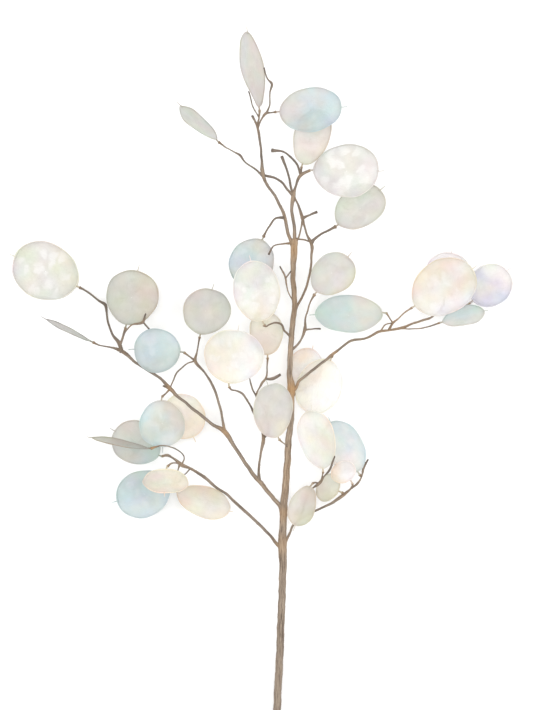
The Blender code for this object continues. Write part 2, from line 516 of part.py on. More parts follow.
def build_pod(pod, parts, cutters, material, rng):
    """Builds one pod: a thin cupped disc with a thicker rim, set along its axis at its lean."""
    base, axis, across, face = seat_pod(pod)
    reach = (Vector(pod.tip) - base).length
    wave = rng.uniform(0, 2 * math.pi)
    disc = turned_disc()
    rim = set()
    for vert in disc.verts:
        ring = math.hypot(vert.co.x, vert.co.y)
        ring = min(RING_RADII, key=lambda known: abs(known - ring))
        turn = math.atan2(vert.co.y, vert.co.x)
        x, y, out = pod_point(pod, reach - NECK_LENGTH, ring, turn, wave)
        out -= pod.cup * (1 - y / reach)
        vert.co = (base + across * x + axis * y + face * out) * MM
        if ring >= RING_RADII[-2]:
            rim.add(vert.index)
    bmesh.ops.triangulate(disc, faces=disc.faces, quad_method="FIXED")
    mesh = bpy.data.meshes.new(pod.name)
    disc.to_mesh(mesh)
    disc.free()
    thing = bpy.data.objects.new(pod.name, mesh)
    parts.objects.link(thing)
    group = thing.vertex_groups.new(name="rim")
    group.add(sorted(rim), 1.0, "REPLACE")
    shell = thing.modifiers.new("thickness", "SOLIDIFY")
    shell.thickness = RIM_THICKNESS * MM
    shell.offset = 0
    shell.vertex_group = "rim"
    shell.thickness_vertex_group = MEMBRANE_SHARE
    apply_modifier(thing, shell)
    if pod.tip[2] == FLAT_POD_HEIGHT:
        cut_at_table(thing, cutters)
    shape = bmesh.new()
    shape.from_mesh(thing.data)
    bmesh.ops.recalc_face_normals(shape, faces=shape.faces)
    shape.to_mesh(thing.data)
    shape.free()
    finish_mesh(thing, material)
    return thing


def centre_on_table(things):
    """Moves every piece so that the origin lies on the table under the middle of the branch."""
    corners = [vert.co for thing in things for vert in thing.data.vertices]
    low = Vector([min(corner[i] for corner in corners) for i in range(3)])
    high = Vector([max(corner[i] for corner in corners) for i in range(3)])
    shift = Vector((-(low.x + high.x) / 2, -(low.y + high.y) / 2, -low.z))
    for thing in things:
        thing.data.transform(Matrix.Translation(shift))
    return shift


def main():
    """Builds the branch: the wood first, and then each pod."""
    clear_scene()
    parts = bpy.data.collections.new("honesty_branch")
    cutters = bpy.data.collections.new("cutters")
    for collection in (parts, cutters):
        bpy.context.scene.collection.children.link(collection)
    bark = make_material("bark", BARK_COLOUR, BARK_ROUGHNESS)
    skins = {name: make_material("pod_" + name, colour, POD_ROUGHNESS)
             for name, colour in POD_COLOURS.items()}
    rng = random.Random(SEED)
    things = [build_wood(parts, cutters, bark)]
    for pod in PODS:
        things.append(build_pod(pod, parts, cutters, skins[pod.colour], rng))
    centre_on_table(things)


main()
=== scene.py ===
"""Looks of a dried honesty branch (Lunaria), laid on a pale floor and seen from straight above.

Lengths are in millimetres in the branch's own drawing: X is to the right, Y runs from the cut end to
the crown and Z is up. They become metres in the shared frame when a piece's mesh is made.
"""
from __future__ import annotations

import logging
import math
import random
from collections.abc import Mapping, Sequence
from dataclasses import dataclass, field
from enum import Enum

import bpy
import numpy as np
from mathutils import Matrix, Vector, noise

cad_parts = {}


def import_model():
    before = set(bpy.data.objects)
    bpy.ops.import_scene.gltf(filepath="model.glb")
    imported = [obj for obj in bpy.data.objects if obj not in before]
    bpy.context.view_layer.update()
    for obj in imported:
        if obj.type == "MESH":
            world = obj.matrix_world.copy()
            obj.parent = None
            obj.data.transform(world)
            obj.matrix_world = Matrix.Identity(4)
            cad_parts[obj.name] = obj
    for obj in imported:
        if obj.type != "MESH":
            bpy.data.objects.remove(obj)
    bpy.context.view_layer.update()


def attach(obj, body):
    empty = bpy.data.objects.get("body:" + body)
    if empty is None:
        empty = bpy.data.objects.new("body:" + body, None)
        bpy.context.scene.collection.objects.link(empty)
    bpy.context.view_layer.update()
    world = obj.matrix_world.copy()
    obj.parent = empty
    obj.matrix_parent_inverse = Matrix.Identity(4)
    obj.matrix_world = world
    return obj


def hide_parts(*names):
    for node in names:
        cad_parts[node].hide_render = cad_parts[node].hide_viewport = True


LOG = logging.getLogger("honesty_branch")

MM = 0.001
TO_FRAME = np.array((19.27353, -340.53081, 0.0))
SEED = 41

Point = tuple[float, float, float, float]
Route = list[Point]
Triple = tuple[float, float, float]
Span = tuple[float, float]

# Wood routes: (x, y, z, radius) along the middle of each stem, from where it grows out
STEM: Route = [
    (-7.0, 0.0, 2.9, 3.3), (-6.0, 50.0, 3.2, 3.3), (-5.0, 100.0, 5.0, 3.2), (-2.5, 151.0, 8.5, 3.2),
    (-1.0, 193.0, 12.0, 3.1), (0.0, 227.0, 14.5, 3.3), (-0.5, 240.0, 15.5, 3.7),
    (0.0, 254.0, 16.5, 3.1), (1.0, 275.0, 18.0, 3.1), (3.5, 306.0, 20.5, 2.8),
    (4.5, 325.0, 22.0, 2.7), (7.0, 350.0, 24.5, 2.5), (7.0, 366.0, 26.3, 2.9),
    (7.0, 374.0, 27.0, 3.4), (6.0, 383.0, 28.0, 2.5), (6.0, 397.0, 29.0, 2.3),
    (7.0, 413.0, 30.5, 2.3), (8.5, 431.0, 32.0, 2.3), (10.0, 444.0, 33.0, 2.2),
    (9.0, 459.0, 34.5, 2.2), (8.5, 474.0, 36.0, 2.2), (9.5, 491.0, 38.0, 2.9),
    (10.0, 500.0, 39.0, 2.7),
]
CROWN: dict[str, Route] = {
    "left_strand": [
        (9.0, 493.0, 38.0, 1.7), (5.5, 501.0, 40.0, 1.6), (3.0, 511.0, 41.0, 1.6),
        (0.5, 521.0, 42.0, 1.6), (-4.0, 531.0, 43.0, 1.4), (-9.5, 540.0, 44.0, 1.3),
        (-15.5, 549.0, 45.0, 1.5), (-17.0, 554.0, 45.2, 1.9), (-18.0, 566.0, 46.0, 1.2),
        (-19.0, 578.0, 46.0, 1.1), (-21.0, 591.0, 45.0, 1.2), (-23.5, 599.0, 44.0, 1.0),
        (-26.0, 604.0, 43.0, 1.2),
    ],
    "crown_twig": [
        (-21.5, 594.0, 44.8, 0.9), (-18.0, 602.0, 45.0, 0.9), (-14.0, 606.5, 46.0, 1.4),
        (-10.5, 606.5, 47.5, 0.7), (-6.0, 607.0, 49.2, 1.1),
    ],
    "crown_spur": [
        (-14.0, 606.0, 46.0, 0.8), (-11.5, 612.5, 47.0, 0.7), (-11.0, 623.5, 48.0, 0.7),
        (-9.5, 631.0, 49.0, 1.2), (-13.0, 634.5, 49.5, 0.7), (-16.0, 644.0, 50.0, 0.7),
    ],
    "top_twig": [(-22.0, 596.0, 44.5, 0.9), (-20.5, 601.5, 44.2, 0.8), (-19.8, 608.5, 43.8, 1.1)],
    "top_stub": [
        (-20.5, 603.0, 44.0, 0.7), (-25.5, 612.5, 41.0, 0.7), (-27.0, 618.5, 38.0, 0.7),
        (-29.0, 625.0, 35.0, 0.8),
    ],
    "left_twig": [
        (-17.0, 553.0, 45.2, 1.0), (-22.0, 557.5, 46.0, 0.9), (-33.0, 566.0, 46.0, 0.8),
        (-37.0, 571.0, 45.6, 1.1), (-41.5, 573.5, 45.0, 0.7), (-49.0, 578.0, 43.0, 0.7),
        (-54.3, 581.8, 42.0, 1.1),
    ],
    "arch_twig": [
        (8.5, 537.0, 42.7, 1.0), (3.5, 541.5, 44.5, 0.9), (0.0, 547.0, 45.5, 0.9),
        (-6.0, 551.0, 46.0, 0.9), (-15.0, 553.5, 45.4, 1.0),
    ],
    "centre_strand": [
        (10.0, 493.0, 38.0, 1.7), (10.0, 504.0, 40.0, 1.7), (8.5, 516.0, 41.0, 1.6),
        (7.5, 526.0, 42.0, 1.6), (8.5, 536.0, 42.5, 2.2), (10.5, 544.0, 43.0, 1.2),
        (15.0, 554.0, 44.0, 1.7), (22.6, 557.8, 45.7, 1.1),
    ],
    "centre_spur": [
        (8.5, 536.0, 42.5, 1.0), (6.0, 546.0, 43.5, 0.9), (3.5, 557.0, 44.5, 0.8),
        (-1.0, 569.5, 45.0, 1.2),
    ],
    "back_stalk": [(15.0, 554.0, 44.0, 0.7), (15.6, 560.6, 42.3, 1.0)],
    "hook_twig": [
        (15.0, 555.0, 44.0, 0.9), (12.0, 562.5, 47.0, 0.8), (7.0, 568.5, 49.0, 0.8),
        (-1.0, 573.5, 50.0, 0.7), (-9.5, 574.5, 50.0, 1.5),
    ],
    "right_strand": [
        (8.5, 538.0, 42.5, 1.0), (13.0, 527.5, 45.0, 1.1), (16.5, 517.0, 46.0, 1.7),
        (18.0, 511.0, 45.0, 1.1), (20.5, 504.0, 43.0, 1.1), (24.0, 497.0, 41.0, 1.7),
        (24.0, 484.0, 40.0, 1.2), (22.5, 470.0, 39.0, 1.2), (18.0, 455.0, 37.0, 1.2),
        (13.5, 446.0, 35.0, 1.2), (10.0, 438.0, 32.8, 1.2),
    ],
    "right_stub": [(16.5, 517.5, 46.0, 0.9), (22.0, 520.0, 47.0, 0.8), (28.5, 522.5, 48.0, 1.1)],
    "cross_twig": [
        (16.5, 515.0, 45.8, 0.9), (15.0, 508.0, 44.5, 0.8), (13.0, 501.0, 41.5, 0.9),
        (10.0, 496.0, 38.5, 0.9),
    ],
    "rung": [(10.0, 500.5, 39.0, 0.9), (18.0, 499.0, 41.0, 0.8), (24.0, 497.5, 41.0, 0.9)],
    "right_twig": [
        (24.0, 497.0, 41.0, 1.0), (26.5, 500.0, 41.5, 0.9), (32.0, 504.0, 43.0, 0.8),
        (39.0, 507.5, 43.0, 0.8), (44.6, 510.5, 42.0, 1.1),
    ],
    "teal_twig": [
        (1.0, 518.0, 41.8, 0.9), (-6.0, 517.5, 43.0, 0.8), (-11.0, 511.5, 43.0, 0.8),
        (-14.5, 506.0, 42.0, 0.7), (-16.5, 501.8, 41.2, 1.1),
    ],
    "left_spur": [(6.5, 496.5, 39.5, 0.9), (-8.5, 493.5, 44.5, 0.7), (-12.0, 487.0, 46.5, 1.0)],
    "small_spur": [
        (9.0, 447.0, 33.3, 0.8), (4.0, 456.0, 37.0, 0.7), (2.0, 467.0, 40.0, 1.2),
        (-2.5, 476.5, 42.0, 0.9),
    ],
    "small_fork": [(2.0, 466.5, 40.0, 0.7), (6.5, 472.5, 42.5, 0.9)],
}
MIDDLE: dict[str, Route] = {
    "hoop_twig": [
        (7.0, 417.0, 30.8, 1.0), (1.5, 422.0, 38.0, 0.9), (-1.5, 427.5, 44.0, 0.9),
        (-7.0, 429.0, 48.0, 0.8), (-12.0, 427.0, 50.5, 0.7), (-14.6, 425.8, 51.8, 0.8),
        (-16.0, 427.0, 52.8, 1.1),
    ],
    "upright_twig": [
        (7.0, 406.0, 29.8, 1.2), (13.5, 411.5, 33.0, 1.0), (16.0, 416.0, 35.0, 1.0),
        (18.5, 423.0, 36.0, 1.6), (18.5, 430.5, 38.0, 0.9), (21.0, 440.0, 42.0, 0.8),
        (24.0, 448.5, 45.0, 0.8), (26.6, 452.8, 47.0, 1.3),
    ],
    "upright_stub": [(18.5, 423.0, 36.0, 0.8), (25.0, 424.0, 34.5, 0.7), (31.5, 424.0, 33.0, 0.9)],
    "front_stalk": [
        (4.5, 322.0, 21.8, 0.8), (2.5, 325.0, 26.0, 0.7), (-1.0, 328.0, 31.5, 0.7),
        (-3.2, 330.0, 33.6, 1.1),
    ],
    "low_back_stalk": [(7.0, 366.0, 26.0, 0.9), (9.0, 366.0, 21.0, 0.8), (10.0, 368.5, 17.5, 1.0)],
    "inner_branch": [
        (-20.5, 295.0, 21.3, 1.4), (-20.5, 304.0, 25.0, 1.2), (-19.0, 318.0, 29.5, 1.1),
        (-16.8, 330.0, 32.5, 1.7), (-18.0, 339.0, 35.0, 1.0), (-24.0, 351.0, 38.0, 1.1),
        (-30.0, 362.5, 41.0, 0.9), (-35.0, 369.5, 42.4, 1.1), (-40.0, 371.5, 43.2, 0.8),
        (-43.8, 372.4, 44.8, 0.8), (-45.6, 374.8, 46.0, 1.1),
    ],
    "forked_twig": [
        (-16.8, 331.0, 32.6, 0.9), (-13.0, 335.0, 33.0, 0.8), (-13.0, 346.0, 33.0, 0.7),
        (-16.0, 357.0, 34.0, 0.7), (-22.5, 367.0, 36.0, 1.1), (-20.5, 373.5, 38.5, 0.7),
        (-18.0, 378.0, 40.0, 1.2), (-14.5, 382.0, 41.0, 1.0), (-13.5, 392.0, 41.5, 0.7),
        (-13.0, 399.0, 41.2, 1.1),
    ],
    "forked_stub": [(-22.5, 366.5, 36.0, 0.8), (-26.0, 373.5, 39.0, 1.1), (-28.5, 383.0, 41.0, 0.7)],
    "knobbed_stub": [(-15.0, 381.5, 41.0, 0.7), (-9.0, 381.5, 41.0, 1.6), (-2.5, 385.0, 40.0, 1.4)],
}
RIGHT: dict[str, Route] = {
    "branch": [
        (6.5, 370.0, 26.6, 1.9), (11.0, 374.0, 28.0, 1.8), (13.5, 379.0, 29.0, 1.6),
        (18.0, 383.0, 30.0, 1.6), (33.0, 395.0, 33.0, 1.5), (42.5, 402.5, 34.0, 1.7),
        (49.5, 408.0, 35.0, 1.4), (56.0, 413.0, 35.0, 1.5), (72.0, 416.5, 33.0, 1.3),
        (81.5, 421.5, 31.0, 1.6), (91.0, 423.0, 29.0, 1.3), (100.0, 424.5, 27.0, 1.6),
        (110.5, 428.5, 24.0, 1.2), (121.0, 432.0, 20.0, 1.3), (129.0, 435.5, 16.0, 1.1),
        (134.5, 440.0, 12.5, 1.4), (137.5, 444.0, 10.0, 0.9), (137.5, 448.9, 8.3, 1.2),
    ],
    "upper_twig": [
        (90.0, 423.0, 29.2, 1.0), (93.5, 429.0, 30.5, 1.3), (97.5, 432.5, 32.0, 0.8),
        (103.5, 438.0, 33.0, 0.8), (109.4, 441.8, 33.0, 1.1),
    ],
    "inner_stalk": [(93.5, 428.5, 30.5, 0.8), (91.0, 432.5, 33.5, 0.7), (87.6, 437.2, 37.3, 1.1)],
    "loop_twig": [(83.0, 422.0, 30.8, 0.7), (87.0, 427.5, 31.0, 0.7), (93.0, 429.0, 30.5, 0.7)],
    "lower_twig": [
        (99.5, 424.5, 27.0, 1.0), (109.0, 424.0, 27.5, 0.8), (121.0, 425.0, 27.0, 0.9),
        (133.0, 429.0, 25.8, 1.2),
    ],
    "tip_twig": [
        (134.5, 440.0, 12.5, 0.9), (141.0, 437.5, 9.0, 0.8), (150.0, 440.0, 5.5, 0.8),
        (156.0, 443.5, 3.0, 0.7), (160.4, 446.2, 1.8, 0.9),
    ],
    "hidden_stalk": [(42.5, 402.5, 34.0, 0.8), (42.4, 401.5, 31.0, 0.7), (41.6, 400.2, 29.6, 1.0)],
}
LEFT: dict[str, Route] = {
    "branch": [
        (0.5, 264.0, 17.3, 2.2), (-3.0, 274.0, 18.5, 2.1), (-8.5, 280.0, 19.5, 1.9),
        (-19.0, 293.0, 21.0, 2.1), (-26.5, 301.5, 23.0, 1.9), (-33.5, 312.5, 25.5, 1.8),
        (-42.0, 325.0, 28.0, 1.8), (-49.5, 336.5, 30.0, 2.4), (-58.5, 342.0, 31.0, 1.6),
        (-70.5, 351.5, 32.5, 1.5), (-88.5, 366.0, 33.5, 1.4), (-96.0, 373.5, 34.0, 1.9),
        (-104.5, 382.0, 34.0, 1.3), (-115.0, 389.0, 33.0, 1.5), (-126.5, 396.5, 31.0, 1.3),
        (-137.0, 405.0, 28.5, 1.8), (-147.0, 408.5, 29.0, 0.9), (-157.0, 410.5, 30.0, 0.8),
        (-161.2, 412.4, 30.2, 1.2),
    ],
    "grey_stub": [(-96.0, 373.0, 34.0, 0.9), (-101.5, 375.5, 35.0, 1.0)],
    "grey_twig": [
        (-96.0, 373.0, 34.0, 0.9), (-99.0, 369.5, 32.5, 0.8), (-102.5, 366.5, 30.8, 1.1),
    ],
    "peach_stalk": [(-95.5, 373.0, 33.5, 0.9), (-93.8, 371.5, 29.5, 0.7), (-93.6, 370.3, 27.6, 1.0)],
    "floor_twig": [
        (-137.0, 404.0, 28.5, 1.1), (-139.0, 411.0, 26.5, 1.4), (-146.0, 420.5, 21.0, 0.8),
        (-149.0, 430.0, 16.0, 0.8), (-150.5, 439.0, 12.0, 0.8), (-152.0, 445.0, 9.5, 1.2),
        (-157.0, 448.0, 7.5, 0.8), (-165.0, 454.0, 4.6, 0.7), (-171.0, 458.0, 2.6, 0.7),
        (-174.0, 459.5, 1.8, 0.9),
    ],
    "olive_twig": [
        (-138.5, 410.0, 26.8, 0.9), (-136.0, 418.0, 28.5, 1.1), (-133.8, 424.8, 29.2, 1.1),
    ],
    "brown_twig": [
        (-136.0, 417.5, 28.5, 0.8), (-133.0, 422.5, 32.0, 0.7), (-128.5, 427.0, 34.0, 0.7),
        (-119.0, 430.0, 35.0, 1.4), (-116.5, 436.5, 36.0, 0.8),
    ],
    "brown_fork": [(-119.0, 430.0, 35.0, 0.7), (-112.0, 422.0, 35.0, 0.9)],
    "riser": [
        (-49.5, 336.0, 30.0, 1.5), (-51.5, 348.0, 31.5, 1.3), (-55.0, 362.5, 33.0, 1.3),
        (-59.5, 375.5, 35.0, 1.4), (-66.0, 386.5, 36.0, 1.1), (-74.5, 397.0, 37.5, 1.7),
        (-73.0, 404.5, 38.5, 0.9), (-71.5, 412.0, 39.5, 0.8), (-70.7, 416.8, 40.2, 1.2),
    ],
    "blue_stalk": [(-74.5, 397.0, 37.5, 0.9), (-80.0, 401.0, 39.5, 0.8), (-83.7, 403.8, 40.7, 1.1)],
    "tie_twig": [
        (-74.5, 397.0, 37.5, 0.8), (-83.5, 393.0, 36.5, 0.8), (-89.5, 387.5, 35.5, 1.0),
        (-94.0, 378.0, 34.2, 0.8), (-95.5, 374.5, 34.0, 0.8),
    ],
}
LOW: dict[str, Route] = {
    "left_branch": [
        (-0.5, 237.0, 15.3, 1.9), (-4.5, 240.0, 15.6, 1.7), (-9.5, 246.0, 16.2, 1.5),
        (-23.0, 260.0, 17.5, 1.5), (-41.0, 276.5, 19.5, 1.5), (-47.0, 282.5, 20.0, 1.3),
        (-58.5, 290.5, 21.5, 1.4), (-70.5, 300.5, 23.0, 1.6), (-79.0, 305.0, 24.0, 1.3),
        (-86.5, 308.5, 24.7, 2.1), (-93.5, 314.5, 25.2, 1.0), (-98.5, 316.5, 25.3, 1.5),
        (-102.8, 315.6, 24.8, 1.0),
    ],
    "hook_twig": [
        (-86.0, 308.5, 24.7, 0.9), (-84.0, 315.0, 28.5, 0.8), (-91.0, 322.0, 33.0, 0.8),
        (-103.0, 325.0, 36.0, 0.8), (-111.8, 322.6, 38.0, 1.7),
    ],
    "cream_stalk": [
        (-86.5, 308.5, 24.7, 0.9), (-90.5, 309.8, 27.0, 0.7), (-95.0, 309.5, 28.2, 0.8),
        (-98.0, 307.2, 29.0, 1.2),
    ],
    "blue_stalk": [
        (-88.0, 308.0, 24.4, 0.9), (-90.0, 302.0, 21.0, 0.7), (-92.0, 295.0, 19.0, 0.7),
        (-93.4, 291.6, 18.3, 1.0),
    ],
    "striped_stalk": [
        (-79.0, 305.0, 23.8, 0.8), (-84.0, 299.5, 19.0, 0.7), (-89.5, 292.5, 16.0, 0.8),
        (-92.0, 286.5, 14.8, 1.0),
    ],
    "right_branch": [
        (0.5, 238.0, 15.3, 1.8), (4.5, 247.0, 16.2, 1.5), (8.5, 256.0, 17.0, 1.4),
        (14.5, 261.5, 18.0, 1.5), (27.0, 268.5, 20.0, 1.3), (40.0, 275.0, 21.0, 1.5),
        (51.0, 282.0, 22.0, 2.1), (58.5, 288.5, 22.0, 1.1), (63.0, 291.5, 22.0, 1.4),
        (67.0, 298.0, 21.0, 0.9), (69.0, 306.5, 20.0, 1.6), (72.5, 312.5, 19.0, 0.9),
    ],
    "right_stub": [(58.5, 288.5, 22.0, 0.9), (59.2, 290.5, 24.3, 0.9), (59.0, 292.4, 26.2, 1.0)],
    "inner_twig": [
        (14.5, 261.5, 18.0, 1.0), (17.0, 270.0, 20.0, 0.8), (20.0, 280.0, 23.0, 0.8),
        (25.5, 288.0, 27.0, 0.8), (30.0, 292.0, 30.0, 1.6), (34.5, 298.5, 36.0, 0.8),
        (39.0, 304.0, 44.0, 1.2), (43.5, 316.0, 52.0, 0.8),
    ],
    "grey_stalk": [(30.0, 292.5, 30.0, 0.8), (27.0, 293.5, 31.5, 0.7), (25.2, 292.8, 32.0, 1.0)],
    "green_stalk": [(33.0, 296.5, 33.8, 0.7), (33.5, 300.0, 34.5, 0.7), (34.0, 302.5, 34.8, 1.0)],
    "teal_stalk": [(67.0, 298.0, 21.0, 0.7), (65.3, 299.8, 22.2, 1.0)],
    "brown_stalk": [(52.5, 283.0, 22.0, 0.9), (50.4, 284.6, 24.2, 1.0)],
}
WOOD: dict[str, dict[str, Route]] = {
    "crown": CROWN, "middle": MIDDLE, "right": RIGHT, "left": LEFT, "low": LOW,
}


class Slot(Enum):
    """The record's material slots."""

    BARK = "bark"
    IVORY = "pod_ivory"
    SAGE = "pod_sage"
    BLUE = "pod_blue"
    PEACH = "pod_peach"
    LAVENDER = "pod_lavender"


class Tone(Enum):
    """The pale colours that the skins shift between, as linear red, green and blue: partly the dried skins'
    own colours and partly painted iridescent sheen, standing in for their pearly play of colour.
    """

    PEARL = (0.905, 0.890, 0.868)
    CREAM = (0.890, 0.832, 0.706)
    PEACH = (0.872, 0.750, 0.612)
    ROSE_GREY = (0.760, 0.690, 0.628)
    GREY_BEIGE = (0.690, 0.672, 0.594)
    SILVER = (0.676, 0.672, 0.628)
    SILVER_SAGE = (0.628, 0.642, 0.570)
    OLIVE = (0.668, 0.624, 0.486)
    TEAL = (0.552, 0.668, 0.672)
    SKY = (0.588, 0.724, 0.790)
    LAVENDER = (0.700, 0.700, 0.806)
    LILAC = (0.742, 0.700, 0.742)


@dataclass(frozen=True)
class Shade:
    """How one pod is coloured.

    turn is the direction, in degrees from the pod's right-hand side, in which the first tone gives way
    to the second; that shift is partly the skin's own colour and partly painted iridescent sheen. milk is
    how strong the whitish blotches are, and sheer is how clear the skin is.
    """

    first: Tone
    second: Tone
    turn: float = 0.0
    milk: float = 0.25
    sheer: float = 0.12


@dataclass(frozen=True)
class SkinFinish:
    """The papery, pearly skin of the pods in one slot of the record.

    glow is how much light shines through, cell is the width of the vein net in millimetres, vein is how
    strongly that net shows and relief is the height of the bumps in metres. Scales are repeats in a
    millimetre. The veins stray by wander and the milky blotches by curl, both in millimetres.
    """

    slot: Slot
    roughness: float
    coat: float
    glow: float = 0.36
    cell: float = 3.6
    vein: float = 0.10
    relief: float = 0.00016
    wander: float = 9.0
    wander_scale: float = 0.11
    net_stretch: float = 0.62
    vein_width: float = 0.075
    veinlet_scale: float = 3.4
    veinlet_width: float = 0.10
    veinlet_share: float = 0.45
    curl: float = 14.0
    curl_scale: float = 0.10
    blotch_scale: Triple = (0.100, 0.125, 1.0)
    blotch_softness: float = 0.7
    blotch_edge: Span = (0.22, 0.52)
    fibre_scale: Triple = (1.1, 0.16, 1.0)
    fibre_share: float = 0.16
    fibre_tint: Triple = (0.56, 0.50, 0.40)
    vein_tone: Triple = (0.46, 0.42, 0.36)
    milk_tone: Triple = (0.78, 0.768, 0.750)
    lit_tone: Triple = (0.94, 0.92, 0.88)
    lit_share: float = 0.30
    coat_roughness: float = 0.28
    sheen: float = 0.15
    specular: float = 0.45


@dataclass(frozen=True)
class BarkFinish:
    """The dry, finely grooved bark of the stem and twigs.

    Tones are linear red, green and blue, scales are repeats in a millimetre across, across and along,
    and relief is the height of the grooves in metres. stops are the grain heights of groove, body and
    crest. On the sawn foot, 1 is its middle and 2 its edge: the pith ends between the two numbers of
    pith_edge and the bark starts between those of bark_edge.
    """

    groove: Triple = (0.088, 0.060, 0.042)
    body: Triple = (0.250, 0.192, 0.142)
    crest: Triple = (0.430, 0.344, 0.260)
    weathered: Triple = (0.190, 0.166, 0.142)
    joint: Triple = (0.430, 0.245, 0.098)
    dead: Triple = (0.092, 0.072, 0.060)
    cut: Triple = (0.640, 0.520, 0.352)
    pith: Triple = (0.760, 0.700, 0.560)
    relief: float = 0.00022
    fibre_scale: Triple = (0.95, 0.95, 0.060)
    fibre_share: float = 0.62
    thread_scale: Triple = (3.6, 3.6, 0.22)
    thread_share: float = 0.38
    patch_scale: Triple = (0.16, 0.16, 0.045)
    pore_scale: Triple = (0.75, 0.75, 0.34)
    pore_size: Span = (0.10, 0.24)
    pore_share: float = 0.55
    pore_height: float = 0.35
    stops: Triple = (0.40, 0.50, 0.62)
    pale_patch: float = 0.35
    soft_share: float = 0.45
    pith_edge: Span = (1.25, 1.5)
    bark_edge: Span = (1.86, 1.98)
    specular: float = 0.35


@dataclass(frozen=True)
class FloorFinish:
    """The plain pale floor, with clouds so faint that they hardly show."""

    colour: Triple = (0.93, 0.93, 0.93)
    cloud_tone: Triple = (0.8, 0.8, 0.8)
    cloud_share: float = 0.02
    cloud_scale: float = 3.0
    roughness: float = 0.9


SKINS: Mapping[Slot, SkinFinish] = {
    finish.slot: finish
    for finish in (
        SkinFinish(Slot.IVORY, 0.36, 0.22),
        SkinFinish(Slot.SAGE, 0.44, 0.12, glow=0.30),
        SkinFinish(Slot.BLUE, 0.38, 0.20),
        SkinFinish(Slot.PEACH, 0.40, 0.16),
        SkinFinish(Slot.LAVENDER, 0.38, 0.20),
    )
}


